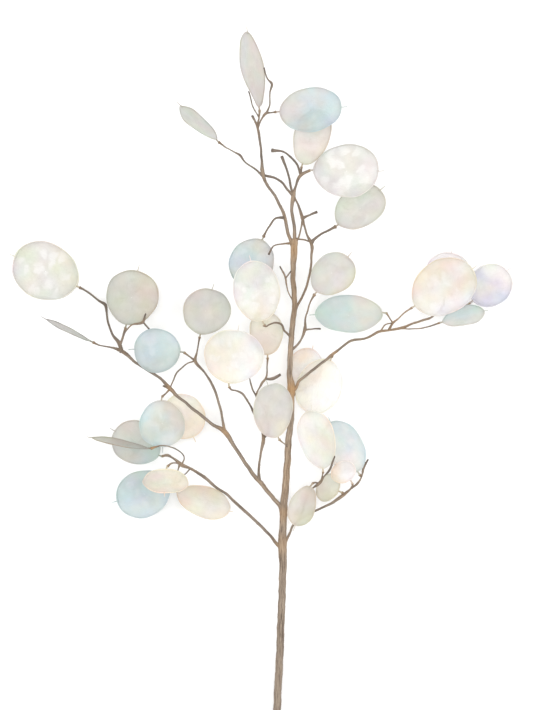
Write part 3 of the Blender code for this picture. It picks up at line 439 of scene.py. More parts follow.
class Recipe:
    """One material's nodes, laid out one after another."""

    def __init__(self, name: str) -> None:
        """Starts an empty material.

        Args:
            name: The material's name.
        """
        self.material = bpy.data.materials.new(name)
        self.material.use_nodes = True
        self.tree = self.material.node_tree
        self.tree.nodes.clear()

    def add(self, kind: str, inputs: Mapping[str | int, object], **settings: object) -> bpy.types.Node:
        """Adds one node.

        Args:
            kind: The node's type, without ShaderNode.
            inputs: A value or another node's output for each socket, by name or number.
            settings: The node's own settings.

        Returns:
            The node.
        """
        node = self.tree.nodes.new("ShaderNode" + kind)
        node.location = (190 * (len(self.tree.nodes) % 12), -260 * (len(self.tree.nodes) // 12))
        for name, value in settings.items():
            setattr(node, name, value)
        for key, value in inputs.items():
            if isinstance(value, bpy.types.NodeSocket):
                self.tree.links.new(value, node.inputs[key])
            elif isinstance(value, tuple) and len(value) == 3 and node.inputs[key].type == "RGBA":
                node.inputs[key].default_value = (*value, 1.0)
            else:
                node.inputs[key].default_value = value
        return node

    def mark(self, name: str, output: str = "Fac") -> bpy.types.NodeSocket:
        """Reads one of the values that the mesh carries.

        Args:
            name: The attribute.
            output: Fac for a number, Vector for a place, Color for a colour.

        Returns:
            The output that gives it.
        """
        return self.add("Attribute", {}, attribute_name=name).outputs[output]

    def stretched(self, place: bpy.types.NodeSocket, scale: Triple) -> bpy.types.NodeSocket:
        """Scales a place, so that a pattern on it is drawn out along one direction.

        Args:
            place: The place in millimetres.
            scale: The pattern's repeats in a millimetre, along each axis.

        Returns:
            The scaled place.
        """
        return self.add("Mapping", {"Vector": place, "Scale": scale}, vector_type="POINT").outputs["Vector"]

    def cloud(self, place: bpy.types.NodeSocket, scale: float = 1.0, detail: float = 3.0,
              roughness: float = 0.55) -> bpy.types.NodeSocket:
        """Gives soft random patches from 0 to 1.

        Args:
            place: The place in the pattern.
            scale: The patches' repeats in a unit.
            detail: How many finer layers it has.
            roughness: How strong those are.

        Returns:
            The patches.
        """
        made = self.add(
            "TexNoise", {"Vector": place, "Scale": scale, "Detail": detail, "Roughness": roughness},
        )
        return made.outputs["Fac"]

    def strayed(self, place: bpy.types.NodeSocket, scale: float, detail: float,
                distance: float) -> bpy.types.NodeSocket:
        """Shifts a place to and fro across the skin, so that a pattern on it bends.

        Args:
            place: The place in millimetres.
            scale: The bends' repeats in a millimetre.
            detail: How many finer bends there are.
            distance: The greatest shift, in millimetres.

        Returns:
            The shifted place.
        """
        swirl = self.add("TexNoise", {"Vector": place, "Scale": scale, "Detail": detail}).outputs["Color"]
        shifted = self.add(
            "VectorMath", {0: swirl, 1: (distance, distance, 0.0), 2: place}, operation="MULTIPLY_ADD",
        )
        return shifted.outputs[0]

    def web(self, place: bpy.types.NodeSocket, scale: float, width: float,
            randomness: float = 1.0) -> bpy.types.NodeSocket:
        """Gives a net of thin lines, 1 on a line and 0 beside it.

        Args:
            place: The place in the pattern.
            scale: The net's repeats in a unit.
            width: How wide its lines are.
            randomness: How unlike its meshes are.

        Returns:
            The net.
        """
        cells = self.add(
            "TexVoronoi", {"Vector": place, "Scale": scale, "Randomness": randomness},
            feature="DISTANCE_TO_EDGE",
        )
        return self.fit(cells.outputs["Distance"], 0.0, width, 1.0, 0.0)

    def sums(self, operation: str, *values: object) -> bpy.types.NodeSocket:
        """Does one sum on numbers.

        Args:
            operation: Blender's name for it.
            values: The numbers or outputs that it takes.

        Returns:
            The result.
        """
        return self.add("Math", dict(enumerate(values)), operation=operation).outputs[0]

    def fit(self, value: bpy.types.NodeSocket, low: float, high: float, least: float = 0.0,
            most: float = 1.0) -> bpy.types.NodeSocket:
        """Spreads the stretch of a value from low to high smoothly over least to most.

        Args:
            value: The value.
            low: Where it starts.
            high: Where it ends.
            least: What the start becomes.
            most: What the end becomes.

        Returns:
            The spread value.
        """
        made = self.add(
            "MapRange", {0: value, 1: low, 2: high, 3: least, 4: most},
            interpolation_type="SMOOTHSTEP", clamp=True,
        )
        return made.outputs[0]

    def mixed(self, share: object, first: object, second: object,
              blend: str = "MIX") -> bpy.types.NodeSocket:
        """Mixes two colours.

        Args:
            share: How much of the second is taken.
            first: A colour or output.
            second: A colour or output.
            blend: Blender's name for the way they are mixed.

        Returns:
            The mixed colour.
        """
        made = self.add("Mix", {0: share, 6: first, 7: second}, data_type="RGBA", blend_type=blend)
        return made.outputs[2]

    def raised(self, height: bpy.types.NodeSocket, distance: float, strength: float) -> bpy.types.NodeSocket:
        """Turns a height into bumps.

        Args:
            height: The height, from 0 to 1.
            distance: The height of 1, in metres.
            strength: How strongly it shows.

        Returns:
            The normals.
        """
        made = self.add("Bump", {"Height": height, "Distance": distance, "Strength": strength})
        return made.outputs["Normal"]

    def finished(self, surface: bpy.types.NodeSocket) -> bpy.types.Material:
        """Joins the last shader to the output.

        Args:
            surface: The shader.

        Returns:
            The material.
        """
        self.add("OutputMaterial", {"Surface": surface})
        return self.material


def skin_material(finish: SkinFinish) -> bpy.types.Material:
    """Makes the skin of one slot: pale tones, net veins, milky blotches and a soft pearly gloss.

    Args:
        finish: The slot's finish.

    Returns:
        The material.
    """
    recipe = Recipe(finish.slot.value + "_skin")
    place = recipe.mark("skin_place", "Vector")
    tone = recipe.mark("skin_tone", "Color")
    inside = recipe.mark("skin_inside")
    drift = recipe.strayed(place, finish.wander_scale, 3.0, finish.wander)
    drawn = recipe.stretched(drift, (1.0 / finish.cell, finish.net_stretch / finish.cell, 1.0))
    vein = recipe.web(drawn, 1.0, finish.vein_width, 0.9)
    veinlet = recipe.web(drawn, finish.veinlet_scale, finish.veinlet_width)
    lines = recipe.sums("ADD", vein, recipe.sums("MULTIPLY", veinlet, finish.veinlet_share))
    lines = recipe.sums("MULTIPLY", lines, inside)
    curled = recipe.stretched(
        recipe.strayed(place, finish.curl_scale, 2.0, finish.curl), finish.blotch_scale,
    )
    cells = recipe.add(
        "TexVoronoi", {"Vector": curled, "Scale": 1.0, "Smoothness": finish.blotch_softness},
        feature="SMOOTH_F1",
    )
    blotch = recipe.fit(cells.outputs["Distance"], *finish.blotch_edge, 1.0, 0.0)
    milk = recipe.sums("MULTIPLY", recipe.sums("MULTIPLY", blotch, recipe.mark("skin_milk")), inside)
    fibre = recipe.cloud(recipe.stretched(place, finish.fibre_scale), 1.0, 4.0, 0.6)
    fibrous = recipe.fit(fibre, 0.30, 0.72, 0.0, finish.fibre_share)
    colour = recipe.mixed(fibrous, tone, finish.fibre_tint, "MULTIPLY")
    colour = recipe.mixed(recipe.sums("MULTIPLY", lines, finish.vein), colour, finish.vein_tone)
    colour = recipe.mixed(milk, colour, finish.milk_tone)
    height = recipe.sums("ADD", recipe.sums("MULTIPLY", lines, 0.5), recipe.sums("MULTIPLY", fibre, 0.8))
    bumps = recipe.raised(height, finish.relief, 0.7)
    rough = recipe.fit(fibre, 0.2, 0.8, finish.roughness - 0.06, finish.roughness + 0.12)
    paper = recipe.add("BsdfPrincipled", {
        "Base Color": colour, "Roughness": rough, "Normal": bumps, "Coat Weight": finish.coat,
        "Coat Roughness": finish.coat_roughness, "Sheen Weight": finish.sheen,
        "Specular IOR Level": finish.specular,
    })
    lit = recipe.mixed(finish.lit_share, colour, finish.lit_tone)
    through = recipe.add("BsdfTranslucent", {"Color": lit, "Normal": bumps})
    skin = recipe.add("MixShader", {
        0: recipe.sums("MULTIPLY", inside, finish.glow), 1: paper.outputs[0], 2: through.outputs[0],
    })
    uneven = recipe.fit(fibre, 0.25, 0.75, 1.25, 0.75)
    clear = recipe.sums("MULTIPLY", recipe.mark("skin_sheer"), uneven)
    shown = recipe.add("MixShader", {
        0: clear, 1: skin.outputs[0], 2: recipe.add("BsdfTransparent", {}).outputs[0],
    })
    return recipe.finished(shown.outputs[0])


def bark_material(finish: BarkFinish) -> bpy.types.Material:
    """Makes the bark: fibres along the stem, greyer on twigs, rusty at forks and dark at dead tips.

    Args:
        finish: The bark's colours.

    Returns:
        The material.
    """
    recipe = Recipe("bark_dry")
    place = recipe.mark("bark_place", "Vector")
    fibre = recipe.cloud(recipe.stretched(place, finish.fibre_scale), 1.0, 5.0, 0.62)
    thread = recipe.cloud(recipe.stretched(place, finish.thread_scale), 1.0, 3.0, 0.6)
    patch = recipe.cloud(recipe.stretched(place, finish.patch_scale))
    grain = recipe.sums(
        "ADD", recipe.sums("MULTIPLY", fibre, finish.fibre_share),
        recipe.sums("MULTIPLY", thread, finish.thread_share),
    )
    dots = recipe.add("TexVoronoi", {"Vector": recipe.stretched(place, finish.pore_scale), "Scale": 1.0})
    pore = recipe.fit(dots.outputs["Distance"], *finish.pore_size, 1.0, 0.0)
    ramp = recipe.add("ValToRGB", {0: grain})
    stops = ramp.color_ramp.elements
    stops[0].position, stops[0].color = finish.stops[0], (*finish.groove, 1.0)
    stops[1].position, stops[1].color = finish.stops[2], (*finish.crest, 1.0)
    stops.new(finish.stops[1]).color = (*finish.body, 1.0)
    paler = recipe.fit(patch, 0.35, 0.7, 0.0, finish.pale_patch)
    colour = recipe.mixed(paler, ramp.outputs[0], finish.crest)
    grey = recipe.sums("MULTIPLY", recipe.mark("bark_age"), recipe.fit(patch, 0.3, 0.7, 0.95, 0.45))
    aged = recipe.mixed(finish.soft_share, finish.weathered, colour, "SOFT_LIGHT")
    colour = recipe.mixed(grey, colour, aged)
    rust = recipe.sums("MULTIPLY", recipe.mark("bark_joint"), recipe.fit(thread, 0.25, 0.7, 0.55, 1.0))
    colour = recipe.mixed(rust, colour, finish.joint)
    colour = recipe.mixed(recipe.mark("bark_dead"), colour, finish.dead)
    colour = recipe.mixed(recipe.sums("MULTIPLY", pore, finish.pore_share), colour, finish.groove)
    cut = recipe.mark("bark_cut")
    sawn = recipe.mixed(recipe.fit(cut, *finish.pith_edge, 1.0, 0.0), finish.cut, finish.pith)
    sawn = recipe.mixed(recipe.fit(cut, *finish.bark_edge), sawn, finish.groove)
    colour = recipe.mixed(recipe.fit(cut, 0.5, 1.0), colour, sawn)
    height = recipe.sums("ADD", grain, recipe.sums("MULTIPLY", pore, finish.pore_height))
    rough = recipe.fit(grain, 0.3, 0.7, 0.88, 0.66)
    bark = recipe.add("BsdfPrincipled", {
        "Base Color": colour, "Roughness": rough, "Specular IOR Level": finish.specular,
        "Normal": recipe.raised(height, finish.relief, 0.9),
    })
    return recipe.finished(bark.outputs[0])


def floor_material(finish: FloorFinish) -> bpy.types.Material:
    """Makes the floor's material.

    Args:
        finish: The floor's finish.

    Returns:
        The material.
    """
    recipe = Recipe("studio_floor")
    place = recipe.add("TexCoord", {}).outputs["Object"]
    cloud = recipe.fit(recipe.cloud(place, finish.cloud_scale), 0.3, 0.7, 0.0, finish.cloud_share)
    faint = recipe.mixed(cloud, finish.colour, finish.cloud_tone)
    paint = recipe.add("BsdfPrincipled", {"Base Color": faint, "Roughness": finish.roughness})
    return recipe.finished(paint.outputs[0])


ATTRIBUTES: Mapping[int, tuple[str, str]] = {
    1: ("FLOAT", "value"), 3: ("FLOAT_VECTOR", "vector"), 4: ("FLOAT_COLOR", "color"),
}


class Piece:
    """Points and faces of one piece, with the values that its finish reads at each point."""

    def __init__(self, name: str, marks: Mapping[str, int]) -> None:
        """Starts an empty piece.

        Args:
            name: The piece's name.
            marks: Each value that its points carry, and how many numbers that has.
        """
        self.name = name
        self.marks = dict(marks)
        self.points: list[np.ndarray] = []
        self.faces: list[tuple[int, ...]] = []
        self.values: dict[str, list[np.ndarray]] = {mark: [] for mark in marks}
        self.count = 0

    def grid(self, points: np.ndarray, values: Mapping[str, object], ring: bool = False) -> None:
        """Adds a surface of rows of points, each row closed into a loop.

        Args:
            points: Rows of points, in millimetres.
            values: One value, or one for each point, for each mark.
            ring: True if the last row joins the first.
        """
        rows, across = points.shape[:2]
        start = self.count
        self.points.append(points.reshape(-1, 3))
        self.count += rows * across
        for mark, width in self.marks.items():
            shape = (rows, across) if width == 1 else (rows, across, width)
            value = np.broadcast_to(np.asarray(values[mark], dtype=float), shape)
            self.values[mark].append(value.reshape(rows * across, width))
        for row in range(rows if ring else rows - 1):
            below = start + row * across
            above = start + (row + 1) % rows * across
            for step in range(across):
                side = (step + 1) % across
                self.faces.append((below + step, below + side, above + side, above + step))

    def made(self, material: bpy.types.Material, sharp: float = math.radians(60)) -> bpy.types.Object:
        """Makes the object in the shared frame.

        Args:
            material: Its finish.
            sharp: Edges with a greater angle than this keep a crease.

        Returns:
            The object.
        """
        mesh = bpy.data.meshes.new(self.name)
        placed = (np.vstack(self.points) + TO_FRAME) * MM
        mesh.from_pydata(placed.tolist(), [], self.faces)
        for mark, width in self.marks.items():
            kind, key = ATTRIBUTES[width]
            layer = mesh.attributes.new(mark, kind, "POINT")
            layer.data.foreach_set(key, np.vstack(self.values[mark]).astype(np.float32).ravel())
        mesh.materials.append(material)
        mesh.shade_smooth()
        mesh.set_sharp_from_angle(angle=sharp)
        mesh.update()
        thing = bpy.data.objects.new(self.name, mesh)
        bpy.context.scene.collection.objects.link(thing)
        LOG.info("%s: %d points, %d faces", self.name, self.count, len(self.faces))
        return thing


def smooth_path(route: Sequence[Point], step: float) -> np.ndarray:
    """Runs one smooth curve through a route's points.

    Args:
        route: The points, each with the radius there.
        step: The distance between the points of the curve.

    Returns:
        Rows of x, y, z and radius.
    """
    marks = np.array(route, dtype=float)
    gaps = np.linalg.norm(np.diff(marks[:, :3], axis=0), axis=1)
    slopes = np.diff(marks, axis=0) / gaps[:, None]
    turns = np.empty_like(marks)
    turns[0], turns[-1] = slopes[0], slopes[-1]
    share = (gaps[:-1] / (gaps[:-1] + gaps[1:]))[:, None]
    turns[1:-1] = slopes[1:] * share + slopes[:-1] * (1 - share)
    rows = []
    for index, gap in enumerate(gaps):
        for t in np.linspace(0, 1, max(2, round(gap / step)), endpoint=False):
            rows.append(
                marks[index] * (2 * t**3 - 3 * t**2 + 1) + turns[index] * gap * (t**3 - 2 * t**2 + t)
                + marks[index + 1] * (3 * t**2 - 2 * t**3) + turns[index + 1] * gap * (t**3 - t**2)
            )
    rows.append(marks[-1])
    return np.array(rows)


def run_length(path: np.ndarray) -> np.ndarray:
    """Gives the distance along a path at each of its points."""
    return np.concatenate(([0.0], np.cumsum(np.linalg.norm(np.diff(path[:, :3], axis=0), axis=1))))


def frames(path: np.ndarray) -> tuple[np.ndarray, np.ndarray, np.ndarray]:
    """Finds the directions along a path and round it, twisted as little as possible.

    Args:
        path: Rows whose first three numbers are a point.

    Returns:
        The direction along the path, and two at right angles to it, at each point.
    """
    along = np.gradient(path[:, :3], axis=0)
    along /= np.linalg.norm(along, axis=1)[:, None]
    side = np.empty_like(along)
    start = np.cross(along[0], (0.0, 0.0, 1.0))
    if np.linalg.norm(start) < 0.1:
        start = np.cross(along[0], (1.0, 0.0, 0.0))
    side[0] = start / np.linalg.norm(start)
    for index in range(1, len(along)):
        turned = side[index - 1] - along[index] * side[index - 1].dot(along[index])
        side[index] = turned / np.linalg.norm(turned)
    return along, side, np.cross(along, side)


def rough_at(points: np.ndarray, scale: float) -> np.ndarray:
    """Gives soft random values from -1 to 1.

    Args:
        points: Rows of points.
        scale: The pattern's repeats in a millimetre.

    Returns:
        One value for each point.
    """
    flat = points.reshape(-1, points.shape[-1]) * scale
    values = np.fromiter((noise.noise(Vector(row)) for row in flat), float, len(flat))
    return values.reshape(points.shape[:-1])


def ramped(values: np.ndarray, start: float, full: float) -> np.ndarray:
    """Gives 0 at the start and before it, 1 at full and beyond it, and a straight line between them."""
    return np.clip((values - start) / (full - start), 0, 1)


def bell(distance: np.ndarray, reach: float) -> np.ndarray:
    """Gives 1 at no distance, falling off smoothly to almost nothing at twice the reach."""
    return np.exp(-((distance / reach) ** 2))


@dataclass(frozen=True)
class Habit:
    """How thick a shoot looks against its solid, and how dark its bark has gone."""

    girth: float = 0.86
    dark: float = 0.0


HABITS: Mapping[str, Habit] = {
    "stem": Habit(1.0), "crown_left_strand": Habit(0.90, 0.12), "crown_crown_twig": Habit(0.84, 0.20),
    "crown_crown_spur": Habit(0.95, 0.20), "crown_top_stub": Habit(0.72, 0.10),
    "crown_left_twig": Habit(0.95, 0.15), "crown_arch_twig": Habit(1.10, 0.30),
    "crown_centre_strand": Habit(0.86, 0.15), "crown_centre_spur": Habit(1.12, 0.35),
    "crown_hook_twig": Habit(1.15, 0.45), "crown_right_strand": Habit(0.84, 0.15),
    "crown_right_stub": Habit(1.12, 0.35), "crown_right_twig": Habit(1.22, 0.45),
    "crown_teal_twig": Habit(1.12, 0.40), "crown_left_spur": Habit(0.92, 0.15),
    "crown_small_spur": Habit(0.66), "crown_small_fork": Habit(0.66),
    "middle_hoop_twig": Habit(0.98, 0.20), "middle_upright_twig": Habit(0.88, 0.10),
    "middle_inner_branch": Habit(0.90, 0.05), "middle_forked_stub": Habit(0.66),
    "right_branch": Habit(0.74, 0.05), "right_upper_twig": Habit(0.76),
    "right_inner_stalk": Habit(0.76), "right_loop_twig": Habit(0.76), "right_lower_twig": Habit(0.64),
    "right_tip_twig": Habit(0.72), "left_branch": Habit(0.88, 0.10),
    "left_floor_twig": Habit(1.18, 0.40), "left_olive_twig": Habit(0.88, 0.15),
    "left_brown_twig": Habit(0.80, 0.15), "left_riser": Habit(0.78, 0.05),
    "left_tie_twig": Habit(0.74, 0.05), "low_left_branch": Habit(0.84, 0.10),
    "low_hook_twig": Habit(0.66), "low_blue_stalk": Habit(0.70), "low_striped_stalk": Habit(0.70),
    "low_right_branch": Habit(0.70), "low_inner_twig": Habit(0.80, 0.05),
}


@dataclass
class Shoot:
    """One stem, branch or twig of the wood."""

    name: str
    route: Route
    bears_pod: bool
    number: int

    @property
    def thickest(self) -> float:
        """The greatest radius along it."""
        return max(point[3] for point in self.route)

    @property
    def base(self) -> np.ndarray:
        """Where it grows out."""
        return np.array(self.route[0][:3])

    @property
    def habit(self) -> Habit:
        """How thick and dark it looks."""
        return HABITS.get(self.name, Habit())


@dataclass(frozen=True)
class RustSpot:
    """A rusty place on the bark: its middle, how far it reaches and how rusty it is."""

    middle: Triple
    reach: float
    share: float


@dataclass
class Wood:
    """The forked stem with all its branches, twigs, stubs and knobs.

    Radii, reaches, gaps and lengths are in millimetres. flare, seat_swell, ridge_height and lump are
    shares of the radius. seat_rings and stub_rings close a shoot's end: how far out each ring lies, and
    its share of the last radius. foot_rings are such shares for the sawn foot, and the other shoots
    start with the first of them. The pairs of radii and distances that a value fades over give where it
    starts and where it is full.
    """

    step: float = 0.9
    stem_sides: int = 30
    branch_sides: int = 18
    twig_sides: int = 13
    branch_radius: float = 1.65
    stem_radius: float = 2.9
    flare: float = 0.50
    flare_reach: Span = (1.6, 1.4)
    seat_swell: float = 0.34
    seat_reach: float = 1.0
    seat_rings: tuple[Span, ...] = ((0.22, 0.86), (0.40, 0.58), (0.46, 0.02))
    stub_rings: tuple[Span, ...] = ((0.22, 0.96), (0.46, 0.80), (0.62, 0.50), (0.66, 0.22), (0.58, 0.02))
    foot_rings: tuple[float, ...] = (0.02, 0.30, 0.62, 0.93)
    foot_depth: float = 0.001
    stout_radii: Span = (1.0, 2.6)
    ridges: int = 7
    ridge_height: float = 0.040
    ridge_twist: float = 0.012
    lump: float = 0.085
    lump_scale: float = 0.42
    lump_shift: float = 7.3
    wobble: float = 0.528
    wobble_scale: float = 0.11
    wobble_lanes: Span = (3.7, 9.1)
    wobble_hold: float = 6.0
    floor_gap: float = 0.02
    bark_shift: float = 61.0
    old_radii: Span = (2.7, 1.0)
    scar_gap: float = 13.0
    scar_spread: Span = (0.6, 1.5)
    scar_height: float = 0.26
    scar_heights: Span = (0.45, 1.0)
    scar_length: float = 0.8
    scar_back: float = 0.35
    scar_clear: Span = (3.0, 2.0)
    fork_rust: float = 0.22
    fork_rust_reach: float = 5.5
    seat_rust: float = 0.42
    seat_rust_reach: float = 2.6
    foot_dark: float = 0.27
    foot_fades: Span = (330.0, 170.0)
    stub_dark: float = 0.85
    stub_dark_reach: float = 4.0
    patch_gap: float = 22.0
    patch_lengths: Span = (2.0, 5.0)
    patch_dark: Span = (0.1, 0.42)
    rusty_forks: tuple[RustSpot, ...] = (
        RustSpot((7.0, 372.0, 27.0), 9.0, 0.95), RustSpot((9.5, 492.0, 38.0), 12.0, 0.55),
        RustSpot((8.0, 455.0, 35.0), 38.0, 0.26), RustSpot((0.0, 240.0, 15.5), 8.0, 0.45),
        RustSpot((2.0, 300.0, 20.0), 26.0, 0.25), RustSpot((0.5, 266.0, 17.3), 7.0, 0.55),
        RustSpot((-49.5, 336.5, 30.0), 6.0, 0.60), RustSpot((-96.0, 373.5, 34.0), 5.0, 0.60),
        RustSpot((42.5, 402.5, 34.0), 5.0, 0.60), RustSpot((90.0, 439.0, 30.0), 32.0, 0.48),
        RustSpot((-127.0, 425.0, 34.0), 5.0, 0.50), RustSpot((-112.0, 322.0, 38.0), 5.0, 0.80),
    )
    finish: BarkFinish = field(default_factory=BarkFinish)

    def shoots(self) -> list[Shoot]:
        """Lists every stem, branch and twig."""
        bearing = {(pod.region, pod.twig) for pod in PODS}
        found = [Shoot("stem", STEM, False, 0)]
        for region, routes in WOOD.items():
            for name, route in routes.items():
                found.append(Shoot(f"{region}_{name}", route, (region, name) in bearing, len(found)))
        return found

    def build(self) -> bpy.types.Object:
        """Builds the wood as one piece and dresses it.

        Returns:
            The wood.
        """
        piece = Piece("wood_bark", {
            "bark_place": 3, "bark_age": 1, "bark_joint": 1, "bark_dead": 1, "bark_cut": 1,
        })
        shoots = self.shoots()
        for shoot in shoots:
            self.grow(piece, shoot, [other.base for other in shoots if other is not shoot])
        thing = piece.made(bark_material(self.finish))
        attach(thing, "root")
        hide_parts("wood")
        return thing

    def grow(self, piece: Piece, shoot: Shoot, forks: list[np.ndarray]) -> None:
        """Adds one shoot: a tapering, knobbly tube with its ends closed.

        Args:
            piece: The piece that it is added to.
            shoot: The shoot.
            forks: Where the other shoots grow out.
        """
        rng = random.Random(SEED * 1000 + shoot.number)
        path = self.wandering(smooth_path(shoot.route, self.step), shoot)
        run = run_length(path)
        sides = self.sides(shoot)
        radius = self.swollen(path, run, shoot)
        path, run, radius, cut = self.with_ends(path, run, radius, shoot)
        _, side, up = frames(path)
        angle = np.linspace(0, 2 * math.pi, sides, endpoint=False)
        spin = np.stack((np.cos(angle), np.sin(angle)), axis=1)
        rays = spin[None, :, :1] * side[:, None] + spin[None, :, 1:] * up[:, None]
        round_about = radius[:, None] * np.ones(sides)[None]
        skin = path[:, None, :3] + rays * round_about[..., None]
        stout = ramped(path[:, 3], *self.stout_radii)[:, None]
        twist = run[:, None] * self.ridge_twist + shoot.number
        relief = 1 + self.ridge_height * np.sin(self.ridges * angle[None] + twist) * stout
        lumps = rough_at(skin + shoot.number * self.lump_shift, self.lump_scale)
        relief = relief + self.lump * lumps * (1 - 0.5 * stout)
        relief = relief + self.scars(run, angle, path[:, 3], rng)
        skin = path[:, None, :3] + rays * (round_about * relief)[..., None]
        skin[..., 2] = np.maximum(skin[..., 2], self.floor_gap)
        reach = run[:, None] + shoot.number * self.bark_shift
        place = np.stack((
            round_about * spin[None, :, 0], round_about * spin[None, :, 1], reach * np.ones(sides)[None],
        ), axis=-1)
        age = ramped(path[:, 3], *self.old_radii)[:, None]
        piece.grid(skin, {
            "bark_place": place, "bark_age": age, "bark_joint": self.rust(skin, forks, shoot, run),
            "bark_dead": self.dead(run, shoot, rng)[:, None], "bark_cut": cut[:, None],
        })

    def sides(self, shoot: Shoot) -> int:
        """Chooses how round a shoot's tube is."""
        if shoot.thickest > self.stem_radius:
            return self.stem_sides
        return self.branch_sides if shoot.thickest > self.branch_radius else self.twig_sides

    def wandering(self, path: np.ndarray, shoot: Shoot) -> np.ndarray:
        """Bends a path a little to and fro, but not at its ends.

        Args:
            path: The path.
            shoot: The shoot that it belongs to.

        Returns:
            The bent path.
        """
        run = run_length(path)
        held = ramped(np.minimum(run, run[-1] - run), 0.0, self.wobble_hold) ** 2
        bent = path.copy()
        for axis in range(3):
            lane = np.array((shoot.number, axis)) * self.wobble_lanes
            rows = np.column_stack((run * self.wobble_scale, np.tile(lane, (len(run), 1))))
            bent[:, axis] += self.wobble * rough_at(rows, 1.0) * held
        return bent

    def swollen(self, path: np.ndarray, run: np.ndarray, shoot: Shoot) -> np.ndarray:
        """Widens a shoot where it grows out of its parent, and at the seat of a pod.

        Args:
            path: The path.
            run: The distance along it.
            shoot: The shoot.

        Returns:
            The radius at each point.
        """
        radius = path[:, 3] * shoot.habit.girth
        if shoot.number:
            share, least = self.flare_reach
            radius *= 1 + self.flare * bell(run, shoot.route[0][3] * share + least)
        if shoot.bears_pod:
            radius *= 1 + self.seat_swell * bell(run[-1] - run, self.seat_reach)
        return radius

    def with_ends(self, path: np.ndarray, run: np.ndarray, radius: np.ndarray,
                  shoot: Shoot) -> tuple[np.ndarray, np.ndarray, np.ndarray, np.ndarray]:
        """Closes both ends of a shoot: a sawn foot, a broken stub or a rounded seat.

        Args:
            path: The path.
            run: The distance along it.
            radius: The radius at each point.
            shoot: The shoot.

        Returns:
            The path, distance and radius with rows added, and how far each row is into a cut face.
        """
        out, back = path[-1, :3] - path[-2, :3], path[0, :3] - path[1, :3]
        out = np.append(out / np.linalg.norm(out), 0.0)
        back = np.append(back / np.linalg.norm(back), 0.0)
        tip = np.array(self.seat_rings if shoot.bears_pod else self.stub_rings)
        foot = np.array(self.foot_rings if shoot.number == 0 else self.foot_rings[:1])
        # The foot's rings lie a hair apart, so that each still has a direction along the path.
        apart = self.foot_depth * (1 - 0.1 * np.arange(len(foot)))[:, None]
        whole = np.vstack((path[0] + back * apart, path, path[-1] + out * tip[:, :1]))
        long = np.concatenate((np.full(len(foot), run[0]), run, np.full(len(tip), run[-1])))
        wide = np.concatenate((radius[0] * foot, radius, radius[-1] * tip[:, 1]))
        cut = np.zeros(len(whole))
        if shoot.number == 0:
            cut[: len(foot)] = 1 + foot
        return whole, long, wide, cut

    def scars(self, run: np.ndarray, angle: np.ndarray, radius: np.ndarray, rng: random.Random) -> np.ndarray:
        """Raises half-moon leaf scars and small ring scars along a shoot.

        Args:
            run: The distance along it.
            angle: The angles round it.
            radius: The radius at each row.
            rng: The shoot's own random numbers.

        Returns:
            The share of the radius that each point is raised by.
        """
        raised = np.zeros((len(run), len(angle)))
        at = rng.uniform(self.scar_clear[0], self.scar_gap)
        while at < run[-1] - self.scar_clear[1]:
            facing = rng.uniform(0, 2 * math.pi)
            high = self.scar_height * rng.uniform(*self.scar_heights) / np.maximum(radius, 1.0)
            band = bell(run - at, self.scar_length)
            moon = self.scar_back + (1 - self.scar_back) * np.clip(np.cos(angle - facing), 0, 1)
            raised += (high * band)[:, None] * moon[None]
            at += rng.uniform(*self.scar_spread) * self.scar_gap
        return raised

    def rust(self, skin: np.ndarray, forks: list[np.ndarray], shoot: Shoot, run: np.ndarray) -> np.ndarray:
        """Finds how rusty the bark is: strongly at the main forks, faintly at the others and at pod seats.

        Args:
            skin: The shoot's points.
            forks: Where the other shoots grow out.
            shoot: The shoot.
            run: The distance along it.

        Returns:
            The share of rust at each point.
        """
        rusty = np.zeros(skin.shape[:2])
        spots = [RustSpot(tuple(fork), self.fork_rust_reach, self.fork_rust) for fork in forks]
        for spot in (*self.rusty_forks, *spots):
            far = np.linalg.norm(skin - np.array(spot.middle), axis=-1)
            rusty = np.maximum(rusty, spot.share * bell(far, spot.reach))
        if shoot.bears_pod:
            seat = self.seat_rust * np.exp(-((run[-1] - run) / self.seat_rust_reach))
            rusty = np.maximum(rusty, seat[:, None])
        return rusty

    def dead(self, run: np.ndarray, shoot: Shoot, rng: random.Random) -> np.ndarray:
        """Darkens the stem's foot, broken tips and a few short stretches of the twigs.

        Args:
            run: The distance along the shoot.
            shoot: The shoot.
            rng: The shoot's own random numbers.

        Returns:
            The share of dead bark at each row.
        """
        if shoot.thickest > self.stem_radius:
            return self.foot_dark * ramped(run, *self.foot_fades)
        dark = np.full_like(run, shoot.habit.dark)
        if not shoot.bears_pod:
            dark = np.maximum(dark, self.stub_dark * np.exp(-((run[-1] - run) / self.stub_dark_reach)))
        for _ in range(int(run[-1] / self.patch_gap) + 1):
            at, length = rng.uniform(0, run[-1]), rng.uniform(*self.patch_lengths)
            dark = np.maximum(dark, rng.uniform(*self.patch_dark) * bell(run - at, length))
        return dark


@dataclass(frozen=True)
class Taper:
    """A slim part of a pod: its radius at places along it, and how dry it looks, from 0 to 1."""

    places: tuple[float, ...]
    radii: tuple[float, ...]
    straw: float

    def at(self, steps: np.ndarray) -> np.ndarray:
        """Gives the radius at each step along it."""
        return np.interp(steps, self.places, self.radii)


@dataclass(frozen=True)
class Pearl:
    """How a pod's two tones run into each other, which is partly the skin's own colour and partly painted
    iridescent sheen, and how faintly its hue drifts, which is painted iridescent sheen. Scales are repeats in
    a millimetre.
    """

    middle: float = 0.55
    blend: float = 1.1
    stray: float = 0.55
    stray_scale: float = 0.055
    fine_stray: float = 0.5
    fine_scale: float = 0.13
    painted_sheen_drift: float = 0.10
    painted_sheen_scale: float = 0.075
    shade_drift: float = 0.04
    shade_scale: float = 0.24


